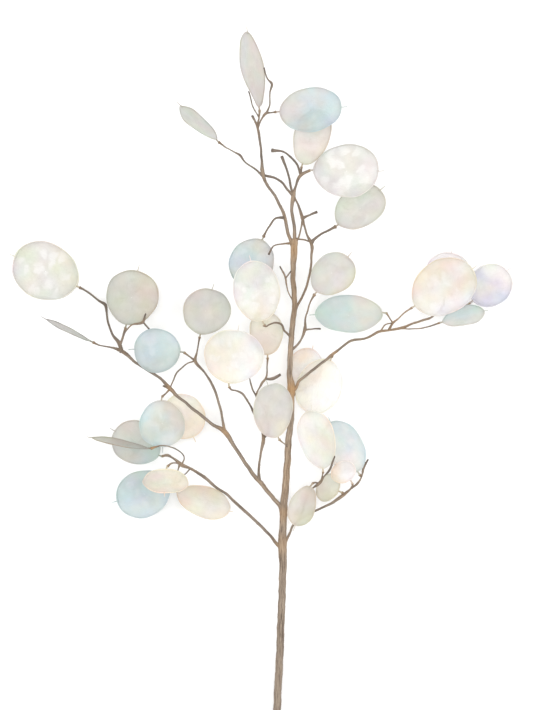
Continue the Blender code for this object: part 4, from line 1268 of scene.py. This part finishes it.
@dataclass(frozen=True)
class SeedMarks:
    """The faint rounds that the seeds left in a pod's skin.

    turns are angles from the tip, in radians, and places are shares of the way from the middle to the
    rim. Each mark is a low dome with a ring round it. shade is how much darker it is.
    """

    count: tuple[int, int] = (3, 5)
    turns: Span = (-2.6, 2.6)
    places: Span = (0.35, 0.66)
    strengths: Span = (0.6, 1.0)
    dome_reach: float = 4.2
    ring_radius: float = 5.2
    ring_reach: float = 0.9
    ring_share: float = 0.5
    height: float = 0.42
    shade: float = 0.07


@dataclass(frozen=True)
class Seat:
    """Where a pod's neck starts, its directions, and the length from there to its tip."""

    base: np.ndarray
    axis: np.ndarray
    across: np.ndarray
    face: np.ndarray
    reach: float


@dataclass
class Pod:
    """One pod: the twig that bears it, its far end, its greatest width and its lean in degrees.

    A positive lean lowers the edge on the right, seen from above along the pod. cup is how far the
    middle sits below the rim, beak is the length of the point at the far end, point is how much the
    outline narrows towards both ends, ripple is how far the skin waves, egg is how much wider the
    outline is towards the far end, and paper is how light its skin is. paper also carries painted
    light and shade: pods that the lamps light strongly are given darker skins, pods low in the shade
    of others lighter ones, and the two pods seen edge-on much darker ones. The flat_ values shape a pod
    that lies on the floor, and dry is what dry straw multiplies a tone by.
    """

    name: str
    region: str
    twig: str
    tip: Triple
    width: float
    lean: float
    slot: Slot
    shade: Shade
    cup: float = 2.5
    beak: float = 6.0
    point: float = 0.0
    ripple: float = 0.9
    egg: float = 0.07
    paper: float = 0.85
    spokes: int = 112
    rings: int = 22
    rim_sides: int = 8
    rim: float = 0.48
    neck: float = 3.0
    seat_gap: float = 0.3
    neck_half: float = 0.9
    rim_half: float = 0.7
    floor_height: float = 0.3
    floor_gap: float = 0.03
    edge_waves: Span = (0.010, 0.006)
    flat_ripple: float = 0.18
    flat_swell: float = 0.9
    flat_height: float = 0.35
    flat_relief: float = 0.25
    crease: float = 0.40
    crease_scale: float = 0.12
    edge_shade: float = 0.16
    edge_shade_starts: float = 0.72
    edge_sheer: float = 0.6
    edge_sheer_starts: float = 0.9
    edge_milk: float = 0.75
    milk_between_seeds: float = 0.75
    rim_unevenness: float = 0.14
    rim_at_beak: float = 0.25
    rim_at_neck: float = 0.35
    rim_end_reach: float = 0.35
    rim_straw: float = 0.30
    end_steps: int = 12
    beak_bends: Span = (-0.8, 0.8)
    beak_lifts: Span = (-0.2, 0.5)
    beak_shape: Taper = Taper((-0.15, 0.0, 0.25, 0.93, 1.0), (0.62, 0.72, 0.42, 0.30, 0.05), 0.40)
    neck_shape: Taper = Taper((0.0, 0.2, 0.5, 0.85, 1.0), (1.0, 0.85, 0.62, 0.80, 0.30), 0.95)
    pearl: Pearl = Pearl()
    seeds: SeedMarks = SeedMarks()
    dry: Triple = (0.60, 0.52, 0.42)

    def build(self, number: int, wave: float, skin: bpy.types.Material) -> bpy.types.Object:
        """Builds the pod as one piece and dresses it.

        Args:
            number: Which pod it is, for its own random pattern.
            wave: Where its ripple starts, in radians.
            skin: Its slot's finish.

        Returns:
            The pod.
        """
        piece = Piece(self.name + "_skin", {
            "skin_place": 3, "skin_tone": 4, "skin_inside": 1, "skin_milk": 1, "skin_sheer": 1,
        })
        rng = random.Random(SEED * 100 + number)
        seat = self.seat()
        self.add_membrane(piece, seat, wave, number, rng)
        self.add_rim(piece, seat, wave, number)
        self.add_beak(piece, seat, wave, number, rng)
        self.add_stalk(piece, seat, wave, number)
        thing = piece.made(skin)
        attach(thing, "root")
        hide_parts(self.name)
        return thing

    @property
    def lies_flat(self) -> bool:
        """Whether it lies on the floor."""
        return self.tip[2] == self.floor_height

    def seat(self) -> Seat:
        """Finds where the neck starts, just off the twig's end, and the pod's directions.

        Returns:
            The seat.
        """
        route = WOOD[self.region][self.twig]
        end, before = Vector(route[-1][:3]), Vector(route[-2][:3])
        axis = Vector(self.tip) - end
        if self.lies_flat:
            axis.z = 0
        axis.normalize()
        face = (Vector((0, 0, 1)) - axis * axis.z).normalized()
        face = Matrix.Rotation(math.radians(self.lean), 3, axis) @ face
        across = axis.cross(face)
        growth = (end - before).normalized()
        corner = self.neck_half * abs(across.dot(growth)) + self.rim_half * abs(face.dot(growth))
        base = end + growth * (self.seat_gap + corner)
        if self.lies_flat:
            base.z = self.floor_height
        reach = (Vector(self.tip) - base).length
        return Seat(np.array(base), np.array(axis), np.array(across), np.array(face), reach)

    def surface(self, ring: np.ndarray, angle: np.ndarray, reach: float, wave: float) -> np.ndarray:
        """Gives the skin's place in the pod's own directions.

        Args:
            ring: 0 in the middle to 1 at the rim.
            angle: The angle from the tip, in radians.
            reach: The length from the neck's start to the tip.
            wave: Where the ripple starts.

        Returns:
            Across, along and out of the face, in millimetres.
        """
        length = reach - self.neck
        slow, quick = self.edge_waves
        uneven = 1 + slow * np.sin(3 * angle + wave) + quick * np.sin(7 * angle - 2 * wave)
        narrowed = 1 - self.point * (ring * np.cos(angle)) ** 2
        x = ring * np.sin(angle) * (1 + self.egg * np.cos(angle)) * narrowed * self.width / 2 * uneven
        y = (1 + ring * np.cos(angle) * uneven) * length / 2
        swell = self.ripple * np.sin(angle) ** 2 * np.sin(2 * angle + wave)
        swell = swell + self.ripple / 3 * np.sin(5 * angle + 3 * wave) * ring**3
        if self.cup:
            out = (self.cup + swell) * ring**2
        else:
            out = self.flat_ripple * (swell + self.flat_swell) * ring**2 + self.flat_height
        y = y + self.neck
        out = out - self.cup * (1 - y / reach)
        return np.stack((x, y, out), axis=-1)

    def placed(self, local: np.ndarray, seat: Seat) -> np.ndarray:
        """Turns across, along and out into the drawing's x, y and z."""
        points = (
            seat.base + local[..., :1] * seat.across + local[..., 1:2] * seat.axis
            + local[..., 2:3] * seat.face
        )
        points[..., 2] = np.maximum(points[..., 2], self.floor_gap)
        return points

    def tones(self, local: np.ndarray, number: int, depth: float) -> np.ndarray:
        """Colours points by the pod's shade: one tone gives way to the other, unevenly, partly as the skin's
        own colour and partly as painted iridescent sheen.

        Args:
            local: The points, across, along and out.
            number: Which pod it is.
            depth: How far they are on the way from the skin's tone to dry straw.

        Returns:
            Red, green, blue and 1 for each point.
        """
        pearl, turn = self.pearl, math.radians(self.shade.turn)
        middle = self.neck + self.width * pearl.middle
        place = local[..., 0] * math.cos(turn) + (local[..., 1] - middle) * math.sin(turn)
        spot = self.in_pattern(local, number * 17.0)
        fine = pearl.fine_stray * rough_at(spot + 40.0, pearl.fine_scale)
        uneven = rough_at(spot, pearl.stray_scale) + fine
        share = np.clip(0.5 + place / self.width * pearl.blend + pearl.stray * uneven, 0, 1)[..., None]
        share = share * share * (3 - 2 * share)
        # The shift from the first tone to the second is partly the skin's own colour and partly painted
        # iridescent sheen.
        colour = np.array(self.shade.first.value) * (1 - share) + np.array(self.shade.second.value) * share
        # A faint drift of hue over the skin: painted iridescent sheen.
        pearly = np.stack(
            [rough_at(spot + 90.0 + 31.0 * channel, pearl.painted_sheen_scale) for channel in range(3)], -1,
        )
        cloudy = rough_at(spot + 60.0, pearl.shade_scale)[..., None]
        colour = colour * (1 + pearl.painted_sheen_drift * pearly) * (1 + pearl.shade_drift * cloudy)
        # paper scales the skin's lightness, and with it the painted light and shade that is set pod by pod.
        colour = colour * (1 - depth * (1 - np.array(self.dry))) * self.paper
        return np.concatenate((colour, np.ones(colour.shape[:-1] + (1,))), -1)

    def in_pattern(self, local: np.ndarray, layer: float) -> np.ndarray:
        """Gives the place in a random pattern: across, along and the pattern's layer."""
        return np.stack((local[..., 0], local[..., 1], np.full(local.shape[:-1], layer)), -1)

    def place_marks(self, local: np.ndarray, number: int) -> np.ndarray:
        """Gives the place in the pod's own pattern, which its finish reads."""
        return self.in_pattern(local, number * 11.0)

    def seed_marks(self, local: np.ndarray, seat: Seat, wave: float, rng: random.Random) -> np.ndarray:
        """Finds how far each point is on one of the seeds' marks.

        Args:
            local: The skin's points, across, along and out.
            seat: Where the pod sits.
            wave: Where the ripple starts.
            rng: The pod's own random numbers.

        Returns:
            0 beside the marks to 1 in the middle of a strong one.
        """
        found = np.zeros(local.shape[:2])
        marks = self.seeds
        for _ in range(rng.randint(*marks.count)):
            turn, far = rng.uniform(*marks.turns), rng.uniform(*marks.places)
            spot = self.surface(np.array(far), np.array(turn), seat.reach, wave)
            gap = np.linalg.norm(local[..., :2] - spot[:2], axis=-1)
            ring = marks.ring_share * bell(gap - marks.ring_radius, marks.ring_reach)
            found = np.maximum(found, (bell(gap, marks.dome_reach) + ring) * rng.uniform(*marks.strengths))
        return found

    def add_membrane(self, piece: Piece, seat: Seat, wave: float, number: int,
                     rng: random.Random) -> None:
        """Adds the thin skin, with the faint rounds that the seeds left.

        Args:
            piece: The pod's piece.
            seat: Where the pod sits.
            wave: Where the ripple starts.
            number: Which pod it is.
            rng: The pod's own random numbers.
        """
        ring = np.linspace(0.004, 0.992, self.rings)[:, None] ** 0.85
        angle = np.linspace(-math.pi, math.pi, self.spokes, endpoint=False)[None]
        local = self.surface(ring, angle + 0 * ring, seat.reach, wave)
        seeds = self.seed_marks(local, seat, wave, rng)
        creased = rough_at(self.place_marks(local, number), self.crease_scale) * np.clip(1.1 - ring, 0, 1)
        lift = self.seeds.height * seeds + self.crease * creased
        local[..., 2] += lift if self.cup else self.flat_relief * np.abs(lift)
        tone = self.tones(local, number, 0.0)
        shaded = self.edge_shade * ramped(ring, self.edge_shade_starts, 1.0) ** 2
        tone[..., :3] *= (1 - shaded)[..., None]
        tone[..., :3] *= (1 - self.seeds.shade * seeds * (1 - self.shade.milk))[..., None]
        solid = self.edge_sheer * ramped(ring, self.edge_sheer_starts, 1.0)
        sheer = self.shade.sheer * (1 - solid) + 0 * angle
        milky = self.milk_between_seeds + (1 - self.milk_between_seeds) * seeds
        milk = self.shade.milk * (1 - self.edge_milk * ring**3) * milky
        piece.grid(self.placed(local, seat), {
            "skin_place": self.place_marks(local, number), "skin_tone": tone, "skin_inside": 1.0,
            "skin_milk": milk, "skin_sheer": sheer,
        })

    def add_rim(self, piece: Piece, seat: Seat, wave: float, number: int) -> None:
        """Adds the raised wiry rim round the skin.

        Args:
            piece: The pod's piece.
            seat: Where the pod sits.
            wave: Where the ripple starts.
            number: Which pod it is.
        """
        angle = np.linspace(-math.pi, math.pi, self.spokes, endpoint=False)
        middle = self.surface(np.ones_like(angle), angle, seat.reach, wave)
        ahead = np.roll(middle, -1, 0) - np.roll(middle, 1, 0)
        ahead /= np.linalg.norm(ahead, axis=1)[:, None]
        outward = np.cross(ahead, (0.0, 0.0, 1.0))
        outward /= np.linalg.norm(outward, axis=1)[:, None]
        up = np.cross(outward, ahead)
        turn = np.linspace(0, 2 * math.pi, self.rim_sides, endpoint=False)
        at_beak = self.rim_at_beak * bell(angle, self.rim_end_reach)
        at_neck = self.rim_at_neck * bell(np.pi - np.abs(angle), self.rim_end_reach)
        thick = self.rim * (1 + self.rim_unevenness * np.sin(9 * angle + wave) + at_beak + at_neck)
        around = np.cos(turn)[None, :, None] * outward[:, None] + np.sin(turn)[None, :, None] * up[:, None]
        local = middle[:, None] + around * thick[:, None, None]
        if not self.cup:
            local[..., 2] += self.rim * 0.5
        tone = self.tones(local, number, self.rim_straw)
        piece.grid(self.placed(local, seat), {
            "skin_place": self.place_marks(local, number), "skin_tone": tone, "skin_inside": 0.0,
            "skin_milk": 0.0, "skin_sheer": 0.0,
        }, ring=True)

    def add_beak(self, piece: Piece, seat: Seat, wave: float, number: int, rng: random.Random) -> None:
        """Adds the slim, slightly bent point at the far end.

        Args:
            piece: The pod's piece.
            seat: Where the pod sits.
            wave: Where the ripple starts.
            number: Which pod it is.
            rng: The pod's own random numbers.
        """
        end = self.surface(np.array(1.0), np.array(0.0), seat.reach, wave)
        bend, lift = rng.uniform(*self.beak_bends), rng.uniform(*self.beak_lifts)
        steps = np.linspace(self.beak_shape.places[0], 1.0, self.end_steps)
        route = np.stack((
            end[0] + bend * np.clip(steps, 0, 1) ** 2, end[1] + steps * self.beak * 0.96,
            end[2] + (lift if self.cup else self.flat_relief) * np.clip(steps, 0, 1) ** 2,
        ), 1)
        self.add_tube(piece, seat, route, self.beak_shape.at(steps), number, self.beak_shape.straw)

    def add_stalk(self, piece: Piece, seat: Seat, wave: float, number: int) -> None:
        """Adds the short neck between the twig's end and the rim.

        Args:
            piece: The pod's piece.
            seat: Where the pod sits.
            wave: Where the ripple starts.
            number: Which pod it is.
        """
        twig = np.array(WOOD[self.region][self.twig][-1][:3]) - seat.base
        start = np.array((twig.dot(seat.across), twig.dot(seat.axis), twig.dot(seat.face)))
        end = self.surface(np.array(1.0), np.array(math.pi), seat.reach, wave)
        middle = np.array((0.0, (end[1] + start[1]) * 0.45, (end[2] + start[2]) * 0.45))
        steps = np.linspace(0, 1, self.end_steps)[:, None]
        route = start * (1 - steps) ** 2 + 2 * middle * steps * (1 - steps) + (end + (0, 0.5, 0)) * steps**2
        thick = self.neck_shape.at(steps[:, 0])
        self.add_tube(piece, seat, route, thick, number, self.neck_shape.straw)

    def add_tube(self, piece: Piece, seat: Seat, route: np.ndarray, thick: np.ndarray, number: int,
                 depth: float) -> None:
        """Adds a slim round tube.

        Args:
            piece: The pod's piece.
            seat: Where the pod sits.
            route: Its middle, across, along and out.
            thick: Its radius at each row.
            number: Which pod it is.
            depth: How far its colour is on the way from the skin's tone to dry straw.
        """
        _, side, up = frames(route)
        turn = np.linspace(0, 2 * math.pi, self.rim_sides, endpoint=False)
        around = np.cos(turn)[None, :, None] * side[:, None] + np.sin(turn)[None, :, None] * up[:, None]
        local = route[:, None] + around * thick[:, None, None]
        piece.grid(self.placed(local, seat), {
            "skin_place": self.place_marks(local, number), "skin_tone": self.tones(local, number, depth),
            "skin_inside": 0.0, "skin_milk": 0.0, "skin_sheer": 0.0,
        })


IVORY, SAGE, BLUE, PEACH, LAVENDER = Slot.IVORY, Slot.SAGE, Slot.BLUE, Slot.PEACH, Slot.LAVENDER
# Each pod's paper holds painted light and shade besides the skin's own lightness: strongly lit pods are
# darker, pods low in the shade of others lighter, and the two edge-on pods much darker.
PODS: list[Pod] = [
    Pod("pod_crown_top", "crown", "top_twig", (-32.5, 674.5, 31.0), 40, 62, SAGE,
        Shade(Tone.SILVER, Tone.ROSE_GREY, 0, 0.10, 0.06), point=0.3, egg=0.3, paper=0.715),
    Pod("pod_crown_left", "crown", "left_twig", (-87.0, 611.5, 31.0), 38, 70, SAGE,
        Shade(Tone.SILVER, Tone.SILVER_SAGE, 90, 0.10, 0.06), 2.0, point=0.2, egg=0.2, paper=0.74),
    Pod("pod_crown_front", "crown", "crown_twig", (49.0, 609.5, 58.0), 40, -20, BLUE,
        Shade(Tone.SILVER, Tone.SKY, 60, 0.15, 0.10), paper=0.77),
    Pod("pod_crown_back", "crown", "back_stalk", (31.5, 609.0, 36.0), 30, 8, PEACH,
        Shade(Tone.CREAM, Tone.ROSE_GREY, 90, 0.20, 0.12), paper=0.72),
    Pod("pod_crown_middle", "crown", "centre_strand", (80.5, 556.0, 52.0), 45, -10, IVORY,
        Shade(Tone.PEARL, Tone.SILVER, 200, 0.80, 0.16), paper=0.77),
    Pod("pod_crown_right", "crown", "right_twig", (83.0, 540.5, 36.0), 40, -30, SAGE,
        Shade(Tone.GREY_BEIGE, Tone.SILVER_SAGE, 180, 0.15, 0.08), paper=0.83),
    Pod("pod_upper_back", "crown", "teal_twig", (-34.5, 461.0, 35.0), 38, 12, BLUE,
        Shade(Tone.GREY_BEIGE, Tone.SKY, 0, 0.20, 0.10), 1.5, paper=0.67),
    Pod("pod_upper_front", "middle", "hoop_twig", (-27.0, 480.5, 58.0), 39, 8, IVORY,
        Shade(Tone.PEARL, Tone.CREAM, 270, 0.90, 0.14), paper=0.8),
    Pod("pod_upper_right", "middle", "upright_twig", (54.0, 485.5, 54.0), 37, 25, SAGE,
        Shade(Tone.SILVER, Tone.OLIVE, 0, 0.15, 0.08), paper=0.84),
    Pod("pod_middle_left", "middle", "inner_branch", (-37.5, 422.5, 52.0), 50, 6, IVORY,
        Shade(Tone.PEARL, Tone.CREAM, 200, 0.60, 0.14), paper=0.85),
    Pod("pod_middle_back", "middle", "forked_twig", (-15.5, 438.0, 35.0), 28, 10, PEACH,
        Shade(Tone.PEACH, Tone.CREAM, 90, 0.26, 0.12), 1.5, 4.0, paper=0.74),
    Pod("pod_middle_front", "middle", "front_stalk", (-13.5, 377.0, 54.0), 38, 28, LAVENDER,
        Shade(Tone.ROSE_GREY, Tone.SILVER, 40, 0.20, 0.10), 2.0, paper=0.90),
    # Its high paper lightens the skin as painted light, against the shade of the pods above it.
    Pod("pod_middle_low", "middle", "low_back_stalk", (25.0, 406.5, 13.0), 28, 0, PEACH,
        Shade(Tone.PEARL, Tone.PEACH, 180, 0.40, 0.20), 1.5, 4.0, paper=0.9),
    Pod("pod_right_inner", "right", "inner_stalk", (27.5, 433.5, 46.0), 38, 33, BLUE,
        Shade(Tone.GREY_BEIGE, Tone.TEAL, 90, 0.12, 0.08), point=0.12, paper=0.83),
    # Its high paper lightens the skin as painted light, against the shade of the pods above it.
    Pod("pod_right_hidden", "right", "hidden_stalk", (22.0, 353.5, 16.0), 38, 0, IVORY,
        Shade(Tone.PEARL, Tone.CREAM, 0, 0.60, 0.22), 1.5, paper=0.97),
    Pod("pod_right_front", "right", "upper_twig", (160.0, 475.0, 38.0), 46, 8, IVORY,
        Shade(Tone.PEACH, Tone.PEARL, 0, 0.45, 0.14), paper=0.79),
    Pod("pod_right_back", "right", "branch", (144.0, 489.0, 14.0), 37, 0, LAVENDER,
        Shade(Tone.PEARL, Tone.LILAC, 90, 0.40, 0.22), 1.5, 3.0, paper=1.0),
    Pod("pod_right_floor", "right", "tip_twig", (192.0, 474.0, 0.3), 35, 0, LAVENDER,
        Shade(Tone.LAVENDER, Tone.PEARL, 90, 0.30, 0.12), 0.0, 5.0, paper=0.94),
    Pod("pod_right_low", "right", "lower_twig", (171.5, 438.0, 24.0), 28, -55, BLUE,
        Shade(Tone.TEAL, Tone.SILVER, 0, 0.15, 0.08), 1.5, 4.0, point=0.12, paper=0.84),
    Pod("pod_left_high", "left", "riser", (-60.5, 457.5, 46.0), 41, 18, SAGE,
        Shade(Tone.GREY_BEIGE, Tone.SILVER_SAGE, 0, 0.12, 0.08), paper=0.72),
    Pod("pod_left_blue", "left", "blue_stalk", (-125.5, 405.8, 44.0), 37, 8, BLUE,
        Shade(Tone.TEAL, Tone.SKY, 0, 0.20, 0.10), 2.0, paper=0.7),
    Pod("pod_left_olive", "left", "olive_twig", (-124.0, 473.0, 25.0), 44, 10, SAGE,
        Shade(Tone.SILVER_SAGE, Tone.OLIVE, 20, 0.12, 0.08), 2.0, paper=0.685),
    Pod("pod_left_floor", "left", "floor_twig", (-229.5, 486.0, 0.3), 48, 0, IVORY,
        Shade(Tone.SILVER, Tone.GREY_BEIGE, 0, 1.0, 0.14), 0.0, paper=1.0),
    # pod_left_edge is seen edge-on; its low paper darkens its skin as painted shade.
    Pod("pod_left_edge", "left", "branch", (-201.0, 431.0, 34.0), 34, 84, SAGE,
        Shade(Tone.SILVER_SAGE, Tone.SILVER, 90, 0.05, 0.04), 1.0, point=0.3, ripple=0.3, paper=0.53),
    Pod("pod_shoulder_grey", "left", "grey_twig", (-101.5, 324.0, 26.0), 38, 0, BLUE,
        Shade(Tone.SKY, Tone.GREY_BEIGE, 180, 0.25, 0.10), 1.5, paper=0.85),
    Pod("pod_shoulder_peach", "left", "peach_stalk", (-76.5, 332.5, 16.0), 35, 0, PEACH,
        Shade(Tone.CREAM, Tone.PEACH, 90, 0.20, 0.12), 1.5, paper=0.96),
    Pod("pod_low_teal", "low", "left_branch", (-143.0, 337.0, 14.0), 36, 8, BLUE,
        Shade(Tone.TEAL, Tone.SILVER, 90, 0.15, 0.08), 1.5, paper=0.75),
    # pod_low_edge is seen edge-on; its low paper darkens its skin as painted shade.
    Pod("pod_low_edge", "low", "hook_twig", (-161.0, 331.0, 52.0), 34, 82, SAGE,
        Shade(Tone.SILVER_SAGE, Tone.OLIVE, 90, 0.05, 0.04), 1.0, point=0.3, ripple=0.3, paper=0.53),
    Pod("pod_low_blue", "low", "blue_stalk", (-141.0, 277.5, 9.5), 40, 12, BLUE,
        Shade(Tone.SKY, Tone.TEAL, 0, 0.20, 0.08), 2.0, paper=0.8),
    Pod("pod_low_striped", "low", "striped_stalk", (-45.5, 269.0, 15.5), 34, -42, PEACH,
        Shade(Tone.PEACH, Tone.CREAM, 60, 0.20, 0.10), 1.5, 4.0, point=0.1, paper=0.85),
    Pod("pod_low_cream", "low", "cream_stalk", (-99.0, 284.5, 61.0), 38, 0, PEACH,
        Shade(Tone.CREAM, Tone.PEACH, 90, 0.20, 0.10), 2.0, paper=0.90),
    Pod("pod_low_grey", "low", "grey_stalk", (12.0, 257.0, 30.0), 26, 34, SAGE,
        Shade(Tone.OLIVE, Tone.ROSE_GREY, 0, 0.12, 0.10), 1.5, paper=0.82),
    Pod("pod_low_green", "low", "green_stalk", (25.5, 355.0, 44.0), 38, -38, SAGE,
        Shade(Tone.CREAM, Tone.PEARL, 180, 0.40, 0.16), 2.0, paper=0.9),
    Pod("pod_low_pale", "low", "teal_stalk", (41.5, 344.5, 24.0), 36, -28, BLUE,
        Shade(Tone.SKY, Tone.PEARL, 200, 0.40, 0.16), 1.5, paper=0.9),
    Pod("pod_low_small", "low", "right_stub", (45.5, 309.0, 28.5), 22, -15, PEACH,
        Shade(Tone.PEACH, Tone.PEARL, 0, 0.35, 0.14), 1.0, 3.0, paper=0.94),
    Pod("pod_low_brown", "low", "brown_stalk", (30.5, 291.5, 18.0), 26, 20, SAGE,
        Shade(Tone.OLIVE, Tone.GREY_BEIGE, 0, 0.10, 0.08), 1.0, 3.0, paper=0.88),
]


@dataclass
class Studio:
    """The floor, the soft light and the camera that looks straight down."""

    look_at: Triple = (-14.0, 401.75, 28.0)
    seen_height: float = 603.5
    lens: float = 200.0
    sensor: float = 36.0
    floor_size: float = 8.0
    sky: float = 0.78
    lamps: tuple[tuple[str, Triple, float, float], ...] = (
        ("overhead_softbox", (0.0, 0.1, 2.6), 1.4, 29.0),
        ("left_softbox", (-1.7, 0.3, 1.7), 1.2, 15.0),
        ("right_softbox", (1.7, 0.3, 1.7), 1.2, 15.0),
    )
    finish: FloorFinish = field(default_factory=FloorFinish)

    def build(self) -> None:
        """Sets up the floor, the light and the camera."""
        self.add_floor()
        self.add_light()
        self.add_camera()
        bpy.context.scene.view_settings.view_transform = "Standard"

    def add_floor(self) -> None:
        """Adds the plain pale floor."""
        half = self.floor_size / 2
        corners = [(-half, -half, 0), (half, -half, 0), (half, half, 0), (-half, half, 0)]
        mesh = bpy.data.meshes.new("floor")
        mesh.from_pydata(corners, [], [(0, 1, 2, 3)])
        mesh.materials.append(floor_material(self.finish))
        floor = bpy.data.objects.new("floor", mesh)
        bpy.context.scene.collection.objects.link(floor)

    def add_light(self) -> None:
        """Adds a pale sky and large soft lamps."""
        world = bpy.data.worlds.new("studio")
        world.use_nodes = True
        sky = world.node_tree.nodes["Background"]
        sky.inputs["Color"].default_value = (1.0, 1.0, 1.0, 1.0)
        sky.inputs["Strength"].default_value = self.sky
        bpy.context.scene.world = world
        for name, place, size, power in self.lamps:
            data = bpy.data.lights.new(name, "AREA")
            data.shape, data.size, data.energy = "DISK", size, power
            lamp = bpy.data.objects.new(name, data)
            lamp.location = place
            lamp.rotation_euler = (-Vector(place)).to_track_quat("-Z", "Y").to_euler()
            lamp.visible_camera = False
            bpy.context.scene.collection.objects.link(lamp)

    def add_camera(self) -> None:
        """Adds the camera, straight above the middle of the photograph's frame."""
        data = bpy.data.cameras.new("camera")
        data.lens, data.sensor_width = self.lens, self.sensor
        camera = bpy.data.objects.new("camera", data)
        target = (np.array(self.look_at) + TO_FRAME) * MM
        distance = self.seen_height * MM * self.lens / self.sensor
        camera.location = (target[0], target[1], target[2] + distance)
        data.clip_end = distance * 4
        bpy.context.scene.collection.objects.link(camera)
        bpy.context.scene.camera = camera


def main() -> None:
    """Builds the studio, the wood and then each pod."""
    logging.basicConfig(level=logging.INFO, format="%(name)s %(message)s")
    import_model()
    Studio().build()
    Wood().build()
    skins = {slot: skin_material(finish) for slot, finish in SKINS.items()}
    waves = random.Random(SEED)
    for number, pod in enumerate(PODS):
        pod.build(number, waves.uniform(0, 2 * math.pi), skins[pod.slot])


if __name__ == "__main__":
    main()
